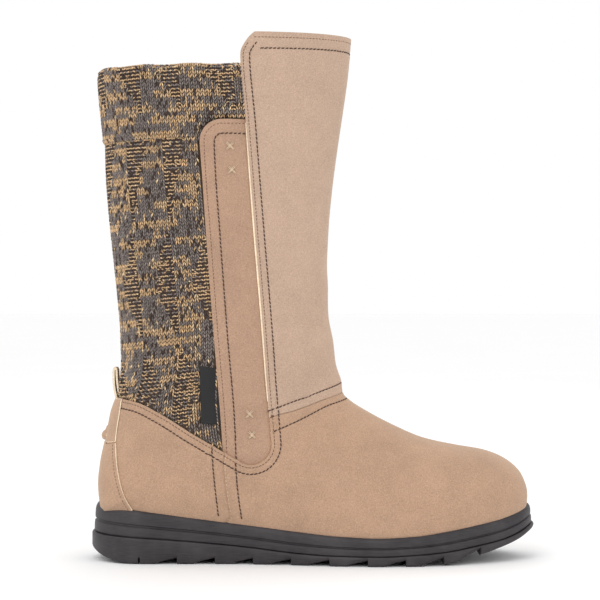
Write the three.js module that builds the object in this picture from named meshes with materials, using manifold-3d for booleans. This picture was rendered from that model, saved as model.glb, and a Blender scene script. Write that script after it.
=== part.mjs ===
// A right mid-calf winter boot: a lugged rubber outsole, a midsole whose rim holds the upper,
// an insole, a suede upper, a knitted back of the shaft with a turned-down cuff, a side strap,
// a heel stay, a pull tab above it, and a small side label.
// Millimetres. Shapes are worked out with X from the back of the heel to the toe, Y to the
// inner (medial) side and Z up from the floor. The finished boot is then moved so that its
// origin is on the floor, in the middle of its length and width.

import * as THREE from "three";
import Module from "manifold-3d";

const wasm = await Module();
wasm.setup();

// ---- Driving dimensions ------------------------------------------------------------------
const LENGTH = 270; // outsole, heel to toe
const BALL_WIDTH = 97; // outsole, at the ball
const INSTEP = 98; // floor to the instep, where the vamp meets the shaft
const SHAFT_HEIGHT = 316; // floor to the top of the front panel
const KNIT_HEIGHT = 297; // floor to the top of the turned-down knit
const SHAFT_WIDTH = 77; // shaft across, at the collar
const TOE_DRIFT = 6; // how far the toe turns inwards
const DRIFT_START = 0.45; // share of the length where that turn starts

const GAP = 0.3; // between pieces that are sewn or glued together
const CLEARANCE = 0.1; // more than that where a facet may cut a corner
const WALL = 2.6; // suede with its lining
const KNIT_PROUD = 0.8; // the knit stands this far outside the suede
const KNIT_INSIDE = 2.8; // and reaches this far inside the suede's outer face
const CUFF_BOTTOM = 252;
const CUFF_THICK = 2.6;
const FOLD = 2; // the cuff's fold stands this far above the knit it is turned down from
const OVERLAY = 1.2; // heel stay
const STRAP_THICK = 1.2;
const STRAP_LIFT = 3; // the strap's top rises this far to lie over the cuff
const STRAP_LEVEL = 224; // height where it starts to rise
const LABEL_THICK = 0.6;
const INSOLE_THICK = 4;
const INSOLE_ROOM = 0.9; // under the insole, and twice that around it
const RIM_DEPTH = 3.2; // how deep the upper sits in the midsole
const FAR = 90; // beyond the boot's side, for cutting right through

// ---- Curves through short tables ---------------------------------------------------------
// A smooth curve through a table's rows that never overshoots them. It runs over the column
// named by along, or over the row numbers.
function through(rows, value, along) {
  const x = rows.map((row, i) => (along ? row[along] : i));
  const y = rows.map((row) => row[value]);
  const rise = x.slice(1).map((next, i) => (y[i + 1] - y[i]) / (next - x[i]));
  const slope = y.map((_, i) => {
    if (i === 0) return rise[0];
    if (i === y.length - 1) return rise[i - 1];
    const product = rise[i - 1] * rise[i];
    return product <= 0 ? 0 : (2 * product) / (rise[i - 1] + rise[i]);
  });
  return (at) => {
    let i = 0;
    while (i < x.length - 2 && at > x[i + 1]) i++;
    const step = x[i + 1] - x[i];
    const t = THREE.MathUtils.clamp((at - x[i]) / step, 0, 1);
    const ease = t * t * (3 - 2 * t);
    const leave = t * (1 - t) * (1 - t);
    const arrive = t * t * (t - 1);
    return y[i] * (1 - ease) + y[i + 1] * ease + step * (slope[i] * leave + slope[i + 1] * arrive);
  };
}

// How a round end closes: 1 at t = 0, and 0 at t = 1.
const rounding = (t, power) => (1 - THREE.MathUtils.clamp(t, 0, 1) ** power) ** (1 / power);

// ---- Sole, seen from above ---------------------------------------------------------------
// at: share of the length, from the heel. lateral, medial: half widths before the ends are
// rounded, as shares of half the ball width.
const OUTLINE = [
  { at: 0.0, lateral: 0.69, medial: 0.69 },
  { at: 0.13, lateral: 0.7, medial: 0.69 },
  { at: 0.3, lateral: 0.7, medial: 0.63 },
  { at: 0.43, lateral: 0.78, medial: 0.64 },
  { at: 0.56, lateral: 0.93, medial: 0.8 },
  { at: 0.66, lateral: 1.0, medial: 0.95 },
  { at: 0.76, lateral: 0.99, medial: 0.945 },
  { at: 0.88, lateral: 0.93, medial: 0.9 },
  { at: 1.0, lateral: 0.88, medial: 0.86 },
];
const HEEL_ROUND = { share: 0.13, power: 2.2 };
const TOE_ROUND = { share: 0.3, power: 2.15 };
const lateralShare = through(OUTLINE, "lateral", "at");
const medialShare = through(OUTLINE, "medial", "at");

// The boot's middle line, which turns inwards towards the toe.
const middle = (x) => TOE_DRIFT * THREE.MathUtils.smoothstep(x / LENGTH, DRIFT_START, 1);
const toeRound = (at) => rounding((at - 1 + TOE_ROUND.share) / TOE_ROUND.share, TOE_ROUND.power);
const heelRound = (at) => rounding(1 - at / HEEL_ROUND.share, HEEL_ROUND.power);

function outlinePoint(x, side) {
  const at = x / LENGTH;
  const share = side < 0 ? lateralShare(at) : medialShare(at);
  const half = (share * heelRound(at) * toeRound(at) * BALL_WIDTH) / 2;
  return new THREE.Vector2(x, middle(x) + side * half);
}

// The outline as a closed ring: heel, lateral side, toe, medial side. It is drawn in by inset,
// a function of x.
function outlineRing(stations, inset) {
  const count = 2 * stations;
  const ring = [];
  for (let i = 0; i < count; i++) {
    const x = (LENGTH * (1 - Math.cos((Math.PI * i) / stations))) / 2;
    ring.push(outlinePoint(x, i < stations ? -1 : 1));
  }
  return ring.map((point, i) => {
    const along = ring[(i + 1) % count].clone().sub(ring[(i + count - 1) % count]).normalize();
    const depth = inset(point.x);
    return new THREE.Vector2(point.x - along.y * depth, point.y + along.x * depth);
  });
}

// ---- Sole, seen from the side ------------------------------------------------------------
// ground: underside. ledge: top of the outsole. rim: top of the midsole.
const SOLE_HEIGHTS = [
  { at: 0.0, ground: 7.0, ledge: 17.0, rim: 34.0 },
  { at: 0.03, ground: 3.2, ledge: 16.4, rim: 33.4 },
  { at: 0.09, ground: 0.0, ledge: 15.6, rim: 31.8 },
  { at: 0.22, ground: 0.0, ledge: 13.3, rim: 27.6 },
  { at: 0.36, ground: 0.0, ledge: 9.8, rim: 22.8 },
  { at: 0.47, ground: 0.0, ledge: 6.7, rim: 19.2 },
  { at: 0.55, ground: 0.0, ledge: 5.8, rim: 17.3 },
  { at: 0.64, ground: 0.0, ledge: 5.6, rim: 16.4 },
  { at: 0.72, ground: 0.0, ledge: 6.4, rim: 17.3 },
  { at: 0.79, ground: 1.2, ledge: 7.8, rim: 19.6 },
  { at: 0.86, ground: 4.8, ledge: 10.6, rim: 22.6 },
  { at: 0.92, ground: 9.2, ledge: 13.4, rim: 25.6 },
  { at: 0.96, ground: 12.8, ledge: 16.6, rim: 28.6 },
  { at: 1.0, ground: 18.0, ledge: 21.4, rim: 32.6 },
];
const [ground, ledge, rim] = ["ground", "ledge", "rim"].map((name) => {
  const height = through(SOLE_HEIGHTS, name, "at");
  return (x) => height(x / LENGTH);
});
const seat = (x) => rim(x) - RIM_DEPTH;

// How far inside the outsole's outline the upper stands: further at the back of the heel.
const TOE_INSET = 5;
const HEEL_INSET = 7.5;
const HEEL_END = 60;
const upperInset = (x) =>
  THREE.MathUtils.lerp(HEEL_INSET, TOE_INSET, THREE.MathUtils.smoothstep(x, 0, HEEL_END));

// ---- Solids ------------------------------------------------------------------------------
// A closed solid from points and triangles, with its faces turned outwards.
function solidFrom(points, triangles) {
  const corners = triangles.filter(([a, b, c]) => a !== b && b !== c && c !== a);
  const volume = corners.reduce(
    (sum, [a, b, c]) => sum + points[a].dot(points[b].clone().cross(points[c])),
    0,
  );
  const outwards = volume > 0 ? corners : corners.map(([a, b, c]) => [a, c, b]);
  return new wasm.Manifold(
    new wasm.Mesh({
      numProp: 3,
      vertProperties: new Float32Array(points.flatMap((point) => point.toArray())),
      triVerts: new Uint32Array(outwards.flat()),
    }),
  );
}

// Rings of the outline, one above another, skinned and closed straight across at both ends.
function stackOfRings(stations, rings) {
  const count = 2 * stations;
  const points = rings.flatMap(({ inset, height }) =>
    outlineRing(stations, inset).map((p) => new THREE.Vector3(p.x, p.y, height(p.x))),
  );
  const triangles = [];
  for (let start = 0; start < (rings.length - 1) * count; start += count)
    for (let i = 0; i < count; i++) {
      const [a, b] = [start + i, start + ((i + 1) % count)];
      triangles.push([a, b, b + count], [a, b + count, a + count]);
    }
  const top = (rings.length - 1) * count;
  for (let i = 0; i < stations; i++) {
    const [a, b, c, d] = [i, i + 1, count - i - 1, (count - i) % count];
    triangles.push([a, c, b], [a, d, c]);
    triangles.push([top + a, top + b, top + c], [top + a, top + c, top + d]);
  }
  return solidFrom(points, triangles);
}

// An outline drawn in side view, carried across the boot from one y to another.
function acrossFrom(outline, fromY, toY) {
  const ring = THREE.ShapeUtils.isClockWise(outline) ? [...outline].reverse() : outline;
  const count = ring.length;
  const points = [fromY, toY].flatMap((y) => ring.map((p) => new THREE.Vector3(p.x, y, p.y)));
  const triangles = THREE.ShapeUtils.triangulateShape(ring, []).flatMap(([a, b, c]) => [
    [a, b, c],
    [a + count, c + count, b + count],
  ]);
  for (let i = 0; i < count; i++) {
    const next = (i + 1) % count;
    triangles.push([i, i + count, next + count], [i, next + count, next]);
  }
  return solidFrom(points, triangles);
}

// A place in side view.
const place = (x, z) => new THREE.Vector2(x, z);

// ---- The boot's form ---------------------------------------------------------------------
// Rows with named columns.
const table = (columns, rows) =>
  rows.map((row) => Object.fromEntries(columns.map((name, i) => [name, row[i]])));

// Slices fan out from the toe, where they stand upright, to the collar, where they lie level.
// Each runs from its base to the ridge over the toe, the instep and the front of the shaft.
// In the foot the base is on the midsole's seat, and in the shaft it is the back seam.
// base: share of the length. ridgeX: share of the length. ridgeZ: share of the instep.
// lateral, medial: half widths, as shares of half the ball width. fullest: share of the slice
// where it is widest. low, high: how square it is below and above that. steps: lattice rows.
const FOOT = table(
  ["base", "ridgeX", "ridgeZ", "lateral", "medial", "fullest", "low", "high", "steps"],
  [
    [0.9815, 0.982, 0.3, 0.86, 0.83, 0.4, 2.2, 2.2, 2],
    [0.968, 0.985, 0.4, 0.865, 0.835, 0.38, 2.2, 2.2, 2],
    [0.944, 0.974, 0.505, 0.87, 0.845, 0.34, 2.2, 2.2, 2],
    [0.904, 0.9415, 0.6, 0.875, 0.855, 0.3, 2.2, 2.25, 2],
    [0.844, 0.888, 0.664, 0.895, 0.875, 0.28, 2.2, 2.25, 1],
    [0.76, 0.822, 0.697, 0.915, 0.88, 0.26, 2.2, 2.15, 1],
    [0.667, 0.752, 0.74, 0.92, 0.87, 0.26, 2.1, 2.05, 1],
    [0.556, 0.681, 0.823, 0.875, 0.8, 0.28, 2.1, 1.95, 1],
    [0.437, 0.622, 0.912, 0.79, 0.73, 0.31, 2.2, 1.9, 1],
    [0.315, 0.5852, 0.978, 0.735, 0.7, 0.34, 2.4, 1.9, 1],
    [0.2, 0.5715, 1.015, 0.71, 0.69, 0.36, 2.8, 1.95, 2],
    [0.11, 0.567, 1.05, 0.705, 0.69, 0.37, 3.4, 2.0, 2],
    [0.06, 0.565, 1.08, 0.705, 0.69, 0.38, 3.8, 2.0, 2],
    [0.037, 0.563, 1.1, 0.705, 0.69, 0.385, 4.0, 2.0, 2],
    [0.028, 0.561, 1.12, 0.705, 0.69, 0.39, 4.0, 2.0, 1],
  ],
);
// backX, ridgeX: shares of the length. backZ, ridgeZ: shares of the shaft's height. half: half
// width, as a share of half the shaft's width.
const SHAFT = table(
  ["backX", "backZ", "ridgeX", "ridgeZ", "half", "fullest", "low", "high", "steps"],
  [
    [0.02, 0.146, 0.558, 0.355, 0.89, 0.4, 3.6, 2.0, 1],
    [0.0237, 0.184, 0.5535, 0.3715, 0.885, 0.42, 3.2, 2.05, 1],
    [0.0328, 0.2255, 0.546, 0.397, 0.88, 0.44, 2.8, 2.1, 1],
    [0.0435, 0.2795, 0.5393, 0.432, 0.88, 0.46, 2.5, 2.1, 1],
    [0.0615, 0.327, 0.534, 0.47, 0.88, 0.48, 2.3, 2.15, 1],
    [0.0678, 0.378, 0.531, 0.514, 0.88, 0.5, 2.2, 2.15, 1],
    [0.0652, 0.435, 0.5307, 0.5555, 0.885, 0.5, 2.1, 2.15, 2],
    [0.0567, 0.5175, 0.534, 0.632, 0.905, 0.5, 2.1, 2.15, 2],
    [0.0444, 0.622, 0.542, 0.708, 0.935, 0.5, 2.15, 2.15, 2],
    [0.0333, 0.7365, 0.5535, 0.784, 0.965, 0.5, 2.15, 2.15, 2],
    [0.0304, 0.832, 0.5667, 0.86, 0.985, 0.5, 2.15, 2.15, 2],
    [0.0244, 0.921, 0.579, 0.9365, 0.995, 0.5, 2.15, 2.15, 2],
    [0.0222, 1.0, 0.5852, 1.0, 1.0, 0.5, 2.15, 2.15, 0],
  ],
);
const LAST_FOOT = FOOT.length - 1; // the slice that starts at the back of the heel seat
const LOW_COLUMNS = 6; // lattice columns from the base to the fullest place
const HIGH_COLUMNS = 7; // and from there to the ridge
const RIDGE = LOW_COLUMNS + HIGH_COLUMNS;
const COLUMNS = 2 * RIDGE; // the last column, at the medial base

const slices = [
  ...FOOT.map((row) => ({
    ...row,
    baseX: row.base * LENGTH,
    baseZ: seat(row.base * LENGTH) + GAP,
    ridgeX: row.ridgeX * LENGTH,
    ridgeZ: row.ridgeZ * INSTEP,
    lateral: (row.lateral * BALL_WIDTH) / 2,
    medial: (row.medial * BALL_WIDTH) / 2,
  })),
  ...SHAFT.map((row) => ({
    ...row,
    baseX: row.backX * LENGTH,
    baseZ: row.backZ * SHAFT_HEIGHT,
    ridgeX: row.ridgeX * LENGTH,
    ridgeZ: row.ridgeZ * SHAFT_HEIGHT,
    lateral: (row.half * SHAFT_WIDTH) / 2,
    medial: (row.half * SHAFT_WIDTH) / 2,
  })),
];
const slice = Object.fromEntries(
  ["baseX", "baseZ", "ridgeX", "ridgeZ", "lateral", "medial", "fullest", "low", "high"].map(
    (name) => [name, through(slices, name)],
  ),
);

// The line on the seat that the upper's outer face starts from.
const FEATHER_STATIONS = 120;
const feather = outlineRing(FEATHER_STATIONS, upperInset);
const lateralFeather = through(feather.slice(0, FEATHER_STATIONS + 1), "y", "x");
const medialFeather = through([...feather.slice(FEATHER_STATIONS), feather[0]].reverse(), "y", "x");
const MOST_OF_HALF = 0.995; // how nearly a slice may start at its full width

// The point of a slice at a lattice column, on the upper's outer face.
function formPoint(s, column) {
  const side = column <= RIDGE ? -1 : 1;
  const j = column <= RIDGE ? column : COLUMNS - column;
  const baseX = slice.baseX(s);
  const tipX = slices[0].baseX;
  if (s <= 0) return new THREE.Vector3(tipX, middle(tipX), slices[0].baseZ);
  const start = (side < 0 ? lateralFeather : medialFeather)(baseX);
  const base = s >= LAST_FOOT ? 0 : Math.abs(start - middle(baseX));
  const toe = s >= LAST_FOOT ? 1 : toeRound(baseX / tipX);
  const half = Math.max(base, toe * (side < 0 ? slice.lateral(s) : slice.medial(s)));
  const fullest = slice.fullest(s);
  const [low, high] = [slice.low(s), slice.high(s)];
  const quarterTurn = Math.PI / 2;
  let t;
  let width;
  if (j <= LOW_COLUMNS) {
    const first = Math.asin(Math.min(base / half, MOST_OF_HALF) ** (low / 2));
    const angle = THREE.MathUtils.lerp(first, quarterTurn, j / LOW_COLUMNS);
    width = half * Math.sin(angle) ** (2 / low);
    t = fullest * (1 - (Math.max(Math.cos(angle), 0) / Math.cos(first)) ** (2 / low));
  } else {
    const angle = (quarterTurn * (j - LOW_COLUMNS)) / HIGH_COLUMNS;
    width = half * Math.max(Math.cos(angle), 0) ** (2 / high);
    t = fullest + (1 - fullest) * Math.sin(angle) ** (2 / high);
  }
  const x = THREE.MathUtils.lerp(baseX, slice.ridgeX(s), t);
  const z = THREE.MathUtils.lerp(slice.baseZ(s), slice.ridgeZ(s), t);
  return new THREE.Vector3(x, middle(x) + side * width, z);
}

const rows = slices.flatMap(({ steps }, i) =>
  Array.from({ length: Math.max(steps, 1) }, (_, k) => i + k / Math.max(steps, 1)),
);
const lastRow = rows.length - 1;
const heelRow = rows.indexOf(LAST_FOOT);
const lattice = rows.map((s) =>
  Array.from({ length: COLUMNS + 1 }, (_, column) => formPoint(s, column)),
);

// The way out of the boot at a lattice point.
function outwards(row, column) {
  if (row === 0) return new THREE.Vector3(1, 0, 0);
  const closed = row >= heelRow;
  const before = column > 0 ? column - 1 : closed ? COLUMNS - 1 : 0;
  const after = column < COLUMNS ? column + 1 : closed ? 1 : COLUMNS;
  const around = lattice[row][after].clone().sub(lattice[row][before]);
  const under = row === heelRow && column % COLUMNS === 0 ? row : row - 1;
  const up = lattice[Math.min(row + 1, lastRow)][column].clone().sub(lattice[under][column]);
  const normal = up.cross(around).normalize();
  const core = lattice[row][0].clone().lerp(lattice[row][RIDGE], 0.5);
  core.y = middle(core.x);
  return normal.dot(lattice[row][column].clone().sub(core)) < 0 ? normal.negate() : normal;
}

// The form between two distances from the upper's outer face: open at the collar and along
// the foot, where its edge stays level with the seat. lift adds to both, by the height.
function shellBetween(outer, inner, lift = () => 0) {
  const points = [outer, inner].flatMap((distance) =>
    lattice.flatMap((line, row) =>
      line.map((point, column) => {
        const way = outwards(row, column);
        const alongFoot = row <= heelRow && column % COLUMNS === 0;
        if (row === 0 || row === lastRow || alongFoot) {
          way.z = 0;
          way.divideScalar(way.lengthSq());
        }
        return point.clone().addScaledVector(way, distance + lift(point.z));
      }),
    ),
  );
  const layer = rows.length * (COLUMNS + 1);
  const index = (row, column, depth) => {
    const joined = row === 0 || (row >= heelRow && column === COLUMNS);
    return depth * layer + row * (COLUMNS + 1) + (joined ? 0 : column);
  };
  const triangles = [];
  const quad = (a, b, c, d) => triangles.push([a, b, c], [a, c, d]);
  for (let row = 0; row < lastRow; row++)
    for (let column = 0; column < COLUMNS; column++) {
      const corners = (depth) => [
        index(row, column, depth),
        index(row, column + 1, depth),
        index(row + 1, column + 1, depth),
        index(row + 1, column, depth),
      ];
      quad(...corners(0));
      quad(...corners(1).reverse());
    }
  for (let column = 0; column < COLUMNS; column++)
    quad(
      index(lastRow, column, 0),
      index(lastRow, column + 1, 0),
      index(lastRow, column + 1, 1),
      index(lastRow, column, 1),
    );
  for (let row = 0; row < heelRow; row++) {
    quad(index(row, 0, 0), index(row + 1, 0, 0), index(row + 1, 0, 1), index(row, 0, 1));
    const last = COLUMNS;
    quad(index(row + 1, last, 0), index(row, last, 0), index(row, last, 1), index(row + 1, last, 1));
  }
  return solidFrom(points, triangles);
}

// ---- Edges drawn in side view ------------------------------------------------------------
const ABOVE = SHAFT_HEIGHT + 20;
const BEHIND = -30;
// The front panel's back edge, from its rounded top corner down to the notch.
const PANEL_EDGE = [
  { x: 103, z: 318 },
  { x: 95, z: 311 },
  { x: 91.4, z: 303 },
  { x: 94.7, z: 263 },
  { x: 100, z: 196 },
  { x: 104.6, z: 140 },
  { x: 107, z: 106 },
];
// The quarters' top edge, from the notch to the back.
const TOPLINE = [
  { x: 62, z: 77.8 },
  { x: 43, z: 89.4 },
  { x: 28, z: 96 },
  { x: 12, z: 98.5 },
];
// The round notch where the two edges meet. On the lateral side the strap ends in it.
const NOTCH = {
  lateral: { x: 97.5, z: 71.5, radius: 12.5 },
  medial: { x: 79.5, z: 99, radius: 28 },
};
const NOTCH_END = -2.15; // angle where the notch runs into the topline
const NOTCH_STEPS = 8;
const PANEL_EDGE_STEPS = 18;
const TOPLINE_STEPS = 8;
const OVERLAP = 0.5; // of two halves that are joined in the middle

// The opening that the knit fills, drawn in by margin.
function knitOpening(side, margin) {
  const notch = NOTCH[side];
  const down = new THREE.SplineCurve(PANEL_EDGE.map(({ x, z }) => place(x, z))).getPoints(PANEL_EDGE_STEPS);
  const round = [];
  for (let i = 0; i <= NOTCH_STEPS; i++) {
    const angle = (NOTCH_END * i) / NOTCH_STEPS;
    const reach = notch.radius;
    round.push(place(notch.x + reach * Math.cos(angle), notch.z + reach * Math.sin(angle)));
  }
  const back = new THREE.SplineCurve(TOPLINE.map(({ x, z }) => place(x, z))).getPoints(TOPLINE_STEPS);
  const line = [...down, ...round, ...back];
  const drawnIn = line.map((point, i) => {
    const before = line[Math.max(i - 1, 0)];
    const along = line[Math.min(i + 1, line.length - 1)].clone().sub(before).normalize();
    return place(point.x + along.y * margin, point.y - along.x * margin);
  });
  const end = drawnIn[drawnIn.length - 1];
  return [place(PANEL_EDGE[0].x, ABOVE), ...drawnIn, place(BEHIND, end.y), place(BEHIND, ABOVE)];
}

// The same opening cut through both sides of the boot.
function openingSolid(margin) {
  return acrossFrom(knitOpening("lateral", margin), -FAR, OVERLAP).add(
    acrossFrom(knitOpening("medial", margin), -OVERLAP, FAR),
  );
}

const STRAP_TOP = 264;
const STRAP_CORNER = 13;
const STRAP_CORNER_STEPS = 6;
const STRAP_FRONT = 125; // in front of the panel's edge all the way down
const STRAP_BACK = [
  { x: 67.6, z: 250 },
  { x: 70.3, z: 206 },
  { x: 75.2, z: 139 },
  { x: 79.6, z: 86 },
  { x: 81.4, z: 55 },
];
// The strap's outline, grown by margin; its front edge is left to the panel's edge.
function strapOutline(margin) {
  const [corner, ...rest] = STRAP_BACK;
  const centre = place(corner.x + STRAP_CORNER, STRAP_TOP - STRAP_CORNER);
  const reach = STRAP_CORNER + margin;
  const round = [];
  for (let i = 0; i <= STRAP_CORNER_STEPS; i++) {
    const angle = (Math.PI / 2) * (1 + i / STRAP_CORNER_STEPS);
    round.push(place(centre.x + reach * Math.cos(angle), centre.y + reach * Math.sin(angle)));
  }
  const down = rest.map(({ x, z }) => place(x - margin, z));
  const bottom = place(STRAP_FRONT, rest[rest.length - 1].z);
  return [place(STRAP_FRONT, STRAP_TOP + margin), ...round, ...down, bottom];
}

// ---- Sub-parts ---------------------------------------------------------------------------
const SOLE_STATIONS = 26;
const LUG = { first: 53.5, pitch: 22.6, count: 9, depth: 3.6, run: 13, steps: 4 };
const SLIT = { x: 30.5, width: 1, depth: 3.2 };
const BELOW = 3; // how far a groove's cutter reaches under the sole
const HAIR = 0.1; // clear of the ground, so that a cutter leaves no sliver
// How far the outsole's rings are drawn in: at the ground, above its rounded edge, and at the top.
const OUTSOLE_SIDE = { ground: 1.8, edge: 0.3, lip: 0.6, lipHeight: 1 };
// The midsole's side, from its underside to its rim, with a moulded groove. share: of its height.
const MIDSOLE_SIDE = [
  { share: 0, inset: 2 },
  { share: 0.4, inset: 1.8 },
  { share: 0.46, inset: 3 },
  { share: 0.53, inset: 2.4 },
  { share: 0.9, inset: 2.7 },
  { share: 1, inset: 3.7 },
];

// A sawtooth groove: upright on its toe side, and hollowed out towards the heel.
function lugGroove(x) {
  const top = ground(x) + LUG.depth;
  const start = place(x - LUG.run, ground(x - LUG.run) - HAIR);
  const hollow = new THREE.QuadraticBezierCurve(place(x, top), place(x - LUG.run / 3, top), start);
  const under = [place(start.x, start.y - BELOW), place(x, ground(x) - BELOW)];
  return acrossFrom([...hollow.getPoints(LUG.steps), ...under], -FAR, FAR);
}

function makeOutsole() {
  const side = OUTSOLE_SIDE;
  let solid = stackOfRings(SOLE_STATIONS, [
    { inset: () => side.ground, height: ground },
    { inset: () => side.edge, height: (x) => ground(x) + side.ground },
    { inset: () => 0, height: (x) => ledge(x) - side.lipHeight },
    { inset: () => side.lip, height: ledge },
  ]);
  for (let i = 0; i < LUG.count; i++)
    solid = solid.subtract(lugGroove(LUG.first + i * LUG.pitch));
  const slit = [
    place(SLIT.x, -BELOW),
    place(SLIT.x + SLIT.width, -BELOW),
    place(SLIT.x + SLIT.width, SLIT.depth),
    place(SLIT.x, SLIT.depth),
  ];
  return solid.subtract(acrossFrom(slit, -FAR, FAR));
}

function makeMidsole() {
  const bottom = (x) => ledge(x) + GAP;
  const recess = (x) => upperInset(x) - 3 * GAP;
  const body = stackOfRings(SOLE_STATIONS, [
    ...MIDSOLE_SIDE.map(({ share, inset }) => ({
      inset: () => inset,
      height: (x) => THREE.MathUtils.lerp(bottom(x), rim(x), share),
    })),
    { inset: recess, height: rim },
    { inset: recess, height: seat },
  ]);
  // The upper swells out over its seat, so the rim gives way to it.
  return body.subtract(shellBetween(GAP + CLEARANCE, -2 * WALL));
}

function makeInsole() {
  const inset = (x) => upperInset(x) + WALL + 2 * INSOLE_ROOM;
  const underside = (x) => seat(x) + INSOLE_ROOM;
  const body = stackOfRings(SOLE_STATIONS, [
    { inset, height: underside },
    { inset, height: (x) => underside(x) + INSOLE_THICK },
  ]);
  return body.subtract(shellBetween(2 * WALL, -WALL - GAP - CLEARANCE));
}

const makeUpper = () => shellBetween(0, -WALL).subtract(openingSolid(0));

// What lies between two heights, all through the boot.
const levelsBetween = (low, high) =>
  acrossFrom([place(BEHIND, low), place(LENGTH, low), place(LENGTH, high), place(BEHIND, high)], -FAR, FAR);
// The strap is level with the suede below the cuff, and the knit is pressed in behind it.
const strapLift = (z) => STRAP_LIFT * THREE.MathUtils.smoothstep(z, STRAP_LEVEL, CUFF_BOTTOM);
const strapBed = () =>
  shellBetween(2 * WALL, -STRAP_THICK - GAP, strapLift).intersect(
    acrossFrom(strapOutline(GAP), -FAR, 0),
  );
const makeKnitShaft = () =>
  shellBetween(KNIT_PROUD, -KNIT_INSIDE)
    .intersect(openingSolid(GAP))
    .intersect(levelsBetween(0, KNIT_HEIGHT - FOLD))
    .subtract(strapBed());

function makeKnitCuff() {
  const inner = KNIT_PROUD + GAP;
  return shellBetween(inner + CUFF_THICK, inner)
    .intersect(openingSolid(GAP))
    .intersect(levelsBetween(CUFF_BOTTOM, KNIT_HEIGHT))
    .subtract(acrossFrom(strapOutline(GAP), -FAR, 0));
}

function makeSideStrap() {
  return shellBetween(0, -STRAP_THICK, strapLift)
    .intersect(openingSolid(GAP))
    .intersect(acrossFrom(strapOutline(0), -FAR, 0));
}

// The heel stay's front edge, from the midsole's rim up.
const HEEL_STAY_EDGE = [
  { x: 27, z: 32 },
  { x: 22, z: 40 },
  { x: 18.6, z: 52 },
  { x: 16.8, z: 70 },
];
const HEEL_STAY_STEPS = 6;
const HEEL_BACK = 4; // where the rim under the heel stay starts to fall

function makeHeelStay() {
  const [foot] = HEEL_STAY_EDGE;
  const { z: top } = HEEL_STAY_EDGE[HEEL_STAY_EDGE.length - 1];
  const overRim = (x) => rim(x) + 3 * GAP;
  const bottom = [
    place(BEHIND, overRim(0)),
    place(HEEL_BACK, overRim(HEEL_BACK)),
    place(foot.x, overRim(foot.x)),
  ];
  const edge = new THREE.SplineCurve(HEEL_STAY_EDGE.map(({ x, z }) => place(x, z)));
  const outline = [...bottom, ...edge.getPoints(HEEL_STAY_STEPS).slice(1), place(BEHIND, top)];
  const inner = GAP + CLEARANCE;
  return shellBetween(inner + OVERLAY, inner).intersect(acrossFrom(outline, -FAR, FAR));
}

// x, z: middle of the tab's thickness. thick: its thickness there. The lower end is folded
// under, and the loop is free above the quarters' top edge.
const PULL_TAB = [
  { x: 5.3, z: 71, thick: 1.6 },
  { x: 5.7, z: 74.5, thick: 3.6 },
  { x: 7.0, z: 79, thick: 2.6 },
  { x: 8.7, z: 88, thick: 1.7 },
  { x: 10.7, z: 98, thick: 1.9 },
  { x: 12.2, z: 106, thick: 2.5 },
  { x: 14.0, z: 112, thick: 2.7 },
  { x: 15.0, z: 116, thick: 1.6 },
];
const PULL_TAB_WIDTH = 13;

function makePullTab() {
  const front = PULL_TAB.map(({ x, z, thick }) => place(x + thick / 2, z));
  const back = PULL_TAB.map(({ x, z, thick }) => place(x - thick / 2, z)).reverse();
  return acrossFrom([...front, ...back], -PULL_TAB_WIDTH / 2, PULL_TAB_WIDTH / 2);
}

// The label's corners. Its front edge lies against the strap.
const LABEL = { back: 68.2, front: 78.8, topFront: 77.4, topBack: 68.8, bottom: 84, top: 117.4 };

function makeSideLabel() {
  const outline = [
    place(LABEL.back, LABEL.bottom),
    place(LABEL.front, LABEL.bottom),
    place(LABEL.topFront, LABEL.top),
    place(LABEL.topBack, LABEL.top),
  ];
  const inner = KNIT_PROUD + GAP;
  return shellBetween(inner + LABEL_THICK, inner)
    .intersect(acrossFrom(outline, -FAR, 0))
    .subtract(acrossFrom(strapOutline(GAP), -FAR, 0));
}

// ---- Finishes ----------------------------------------------------------------------------
const rubber = { color: "#434043", roughness: 0.55, metalness: 0 };
const suede = { color: "#c4a48e", roughness: 0.92, metalness: 0 };
const knit = { color: "#8a7355", roughness: 0.95, metalness: 0 };
const lining = { color: "#d8c8ad", roughness: 0.9, metalness: 0 };
const woven = { color: "#17161a", roughness: 0.7, metalness: 0 };

function nodeOf(name, solid, finish) {
  const { vertProperties, triVerts } = solid.getMesh();
  const geometry = new THREE.BufferGeometry();
  geometry.setAttribute("position", new THREE.BufferAttribute(vertProperties, 3));
  geometry.setIndex(new THREE.BufferAttribute(triVerts, 1));
  geometry.computeVertexNormals();
  const mesh = new THREE.Mesh(geometry, new THREE.MeshStandardMaterial(finish));
  mesh.name = name;
  return mesh;
}

const boot = new THREE.Group();
boot.add(
  nodeOf("outsole", makeOutsole(), rubber),
  nodeOf("midsole", makeMidsole(), rubber),
  nodeOf("insole", makeInsole(), lining),
  nodeOf("upper", makeUpper(), suede),
  nodeOf("knit_shaft", makeKnitShaft(), knit),
  nodeOf("knit_cuff", makeKnitCuff(), knit),
  nodeOf("side_strap", makeSideStrap(), suede),
  nodeOf("heel_stay", makeHeelStay(), suede),
  nodeOf("pull_tab", makePullTab(), suede),
  nodeOf("side_label", makeSideLabel(), woven),
);
const sides = outlineRing(SOLE_STATIONS, () => 0).map((point) => point.y);
boot.position.set(-LENGTH / 2, -(Math.min(...sides) + Math.max(...sides)) / 2, 0);

export default boot;
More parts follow.
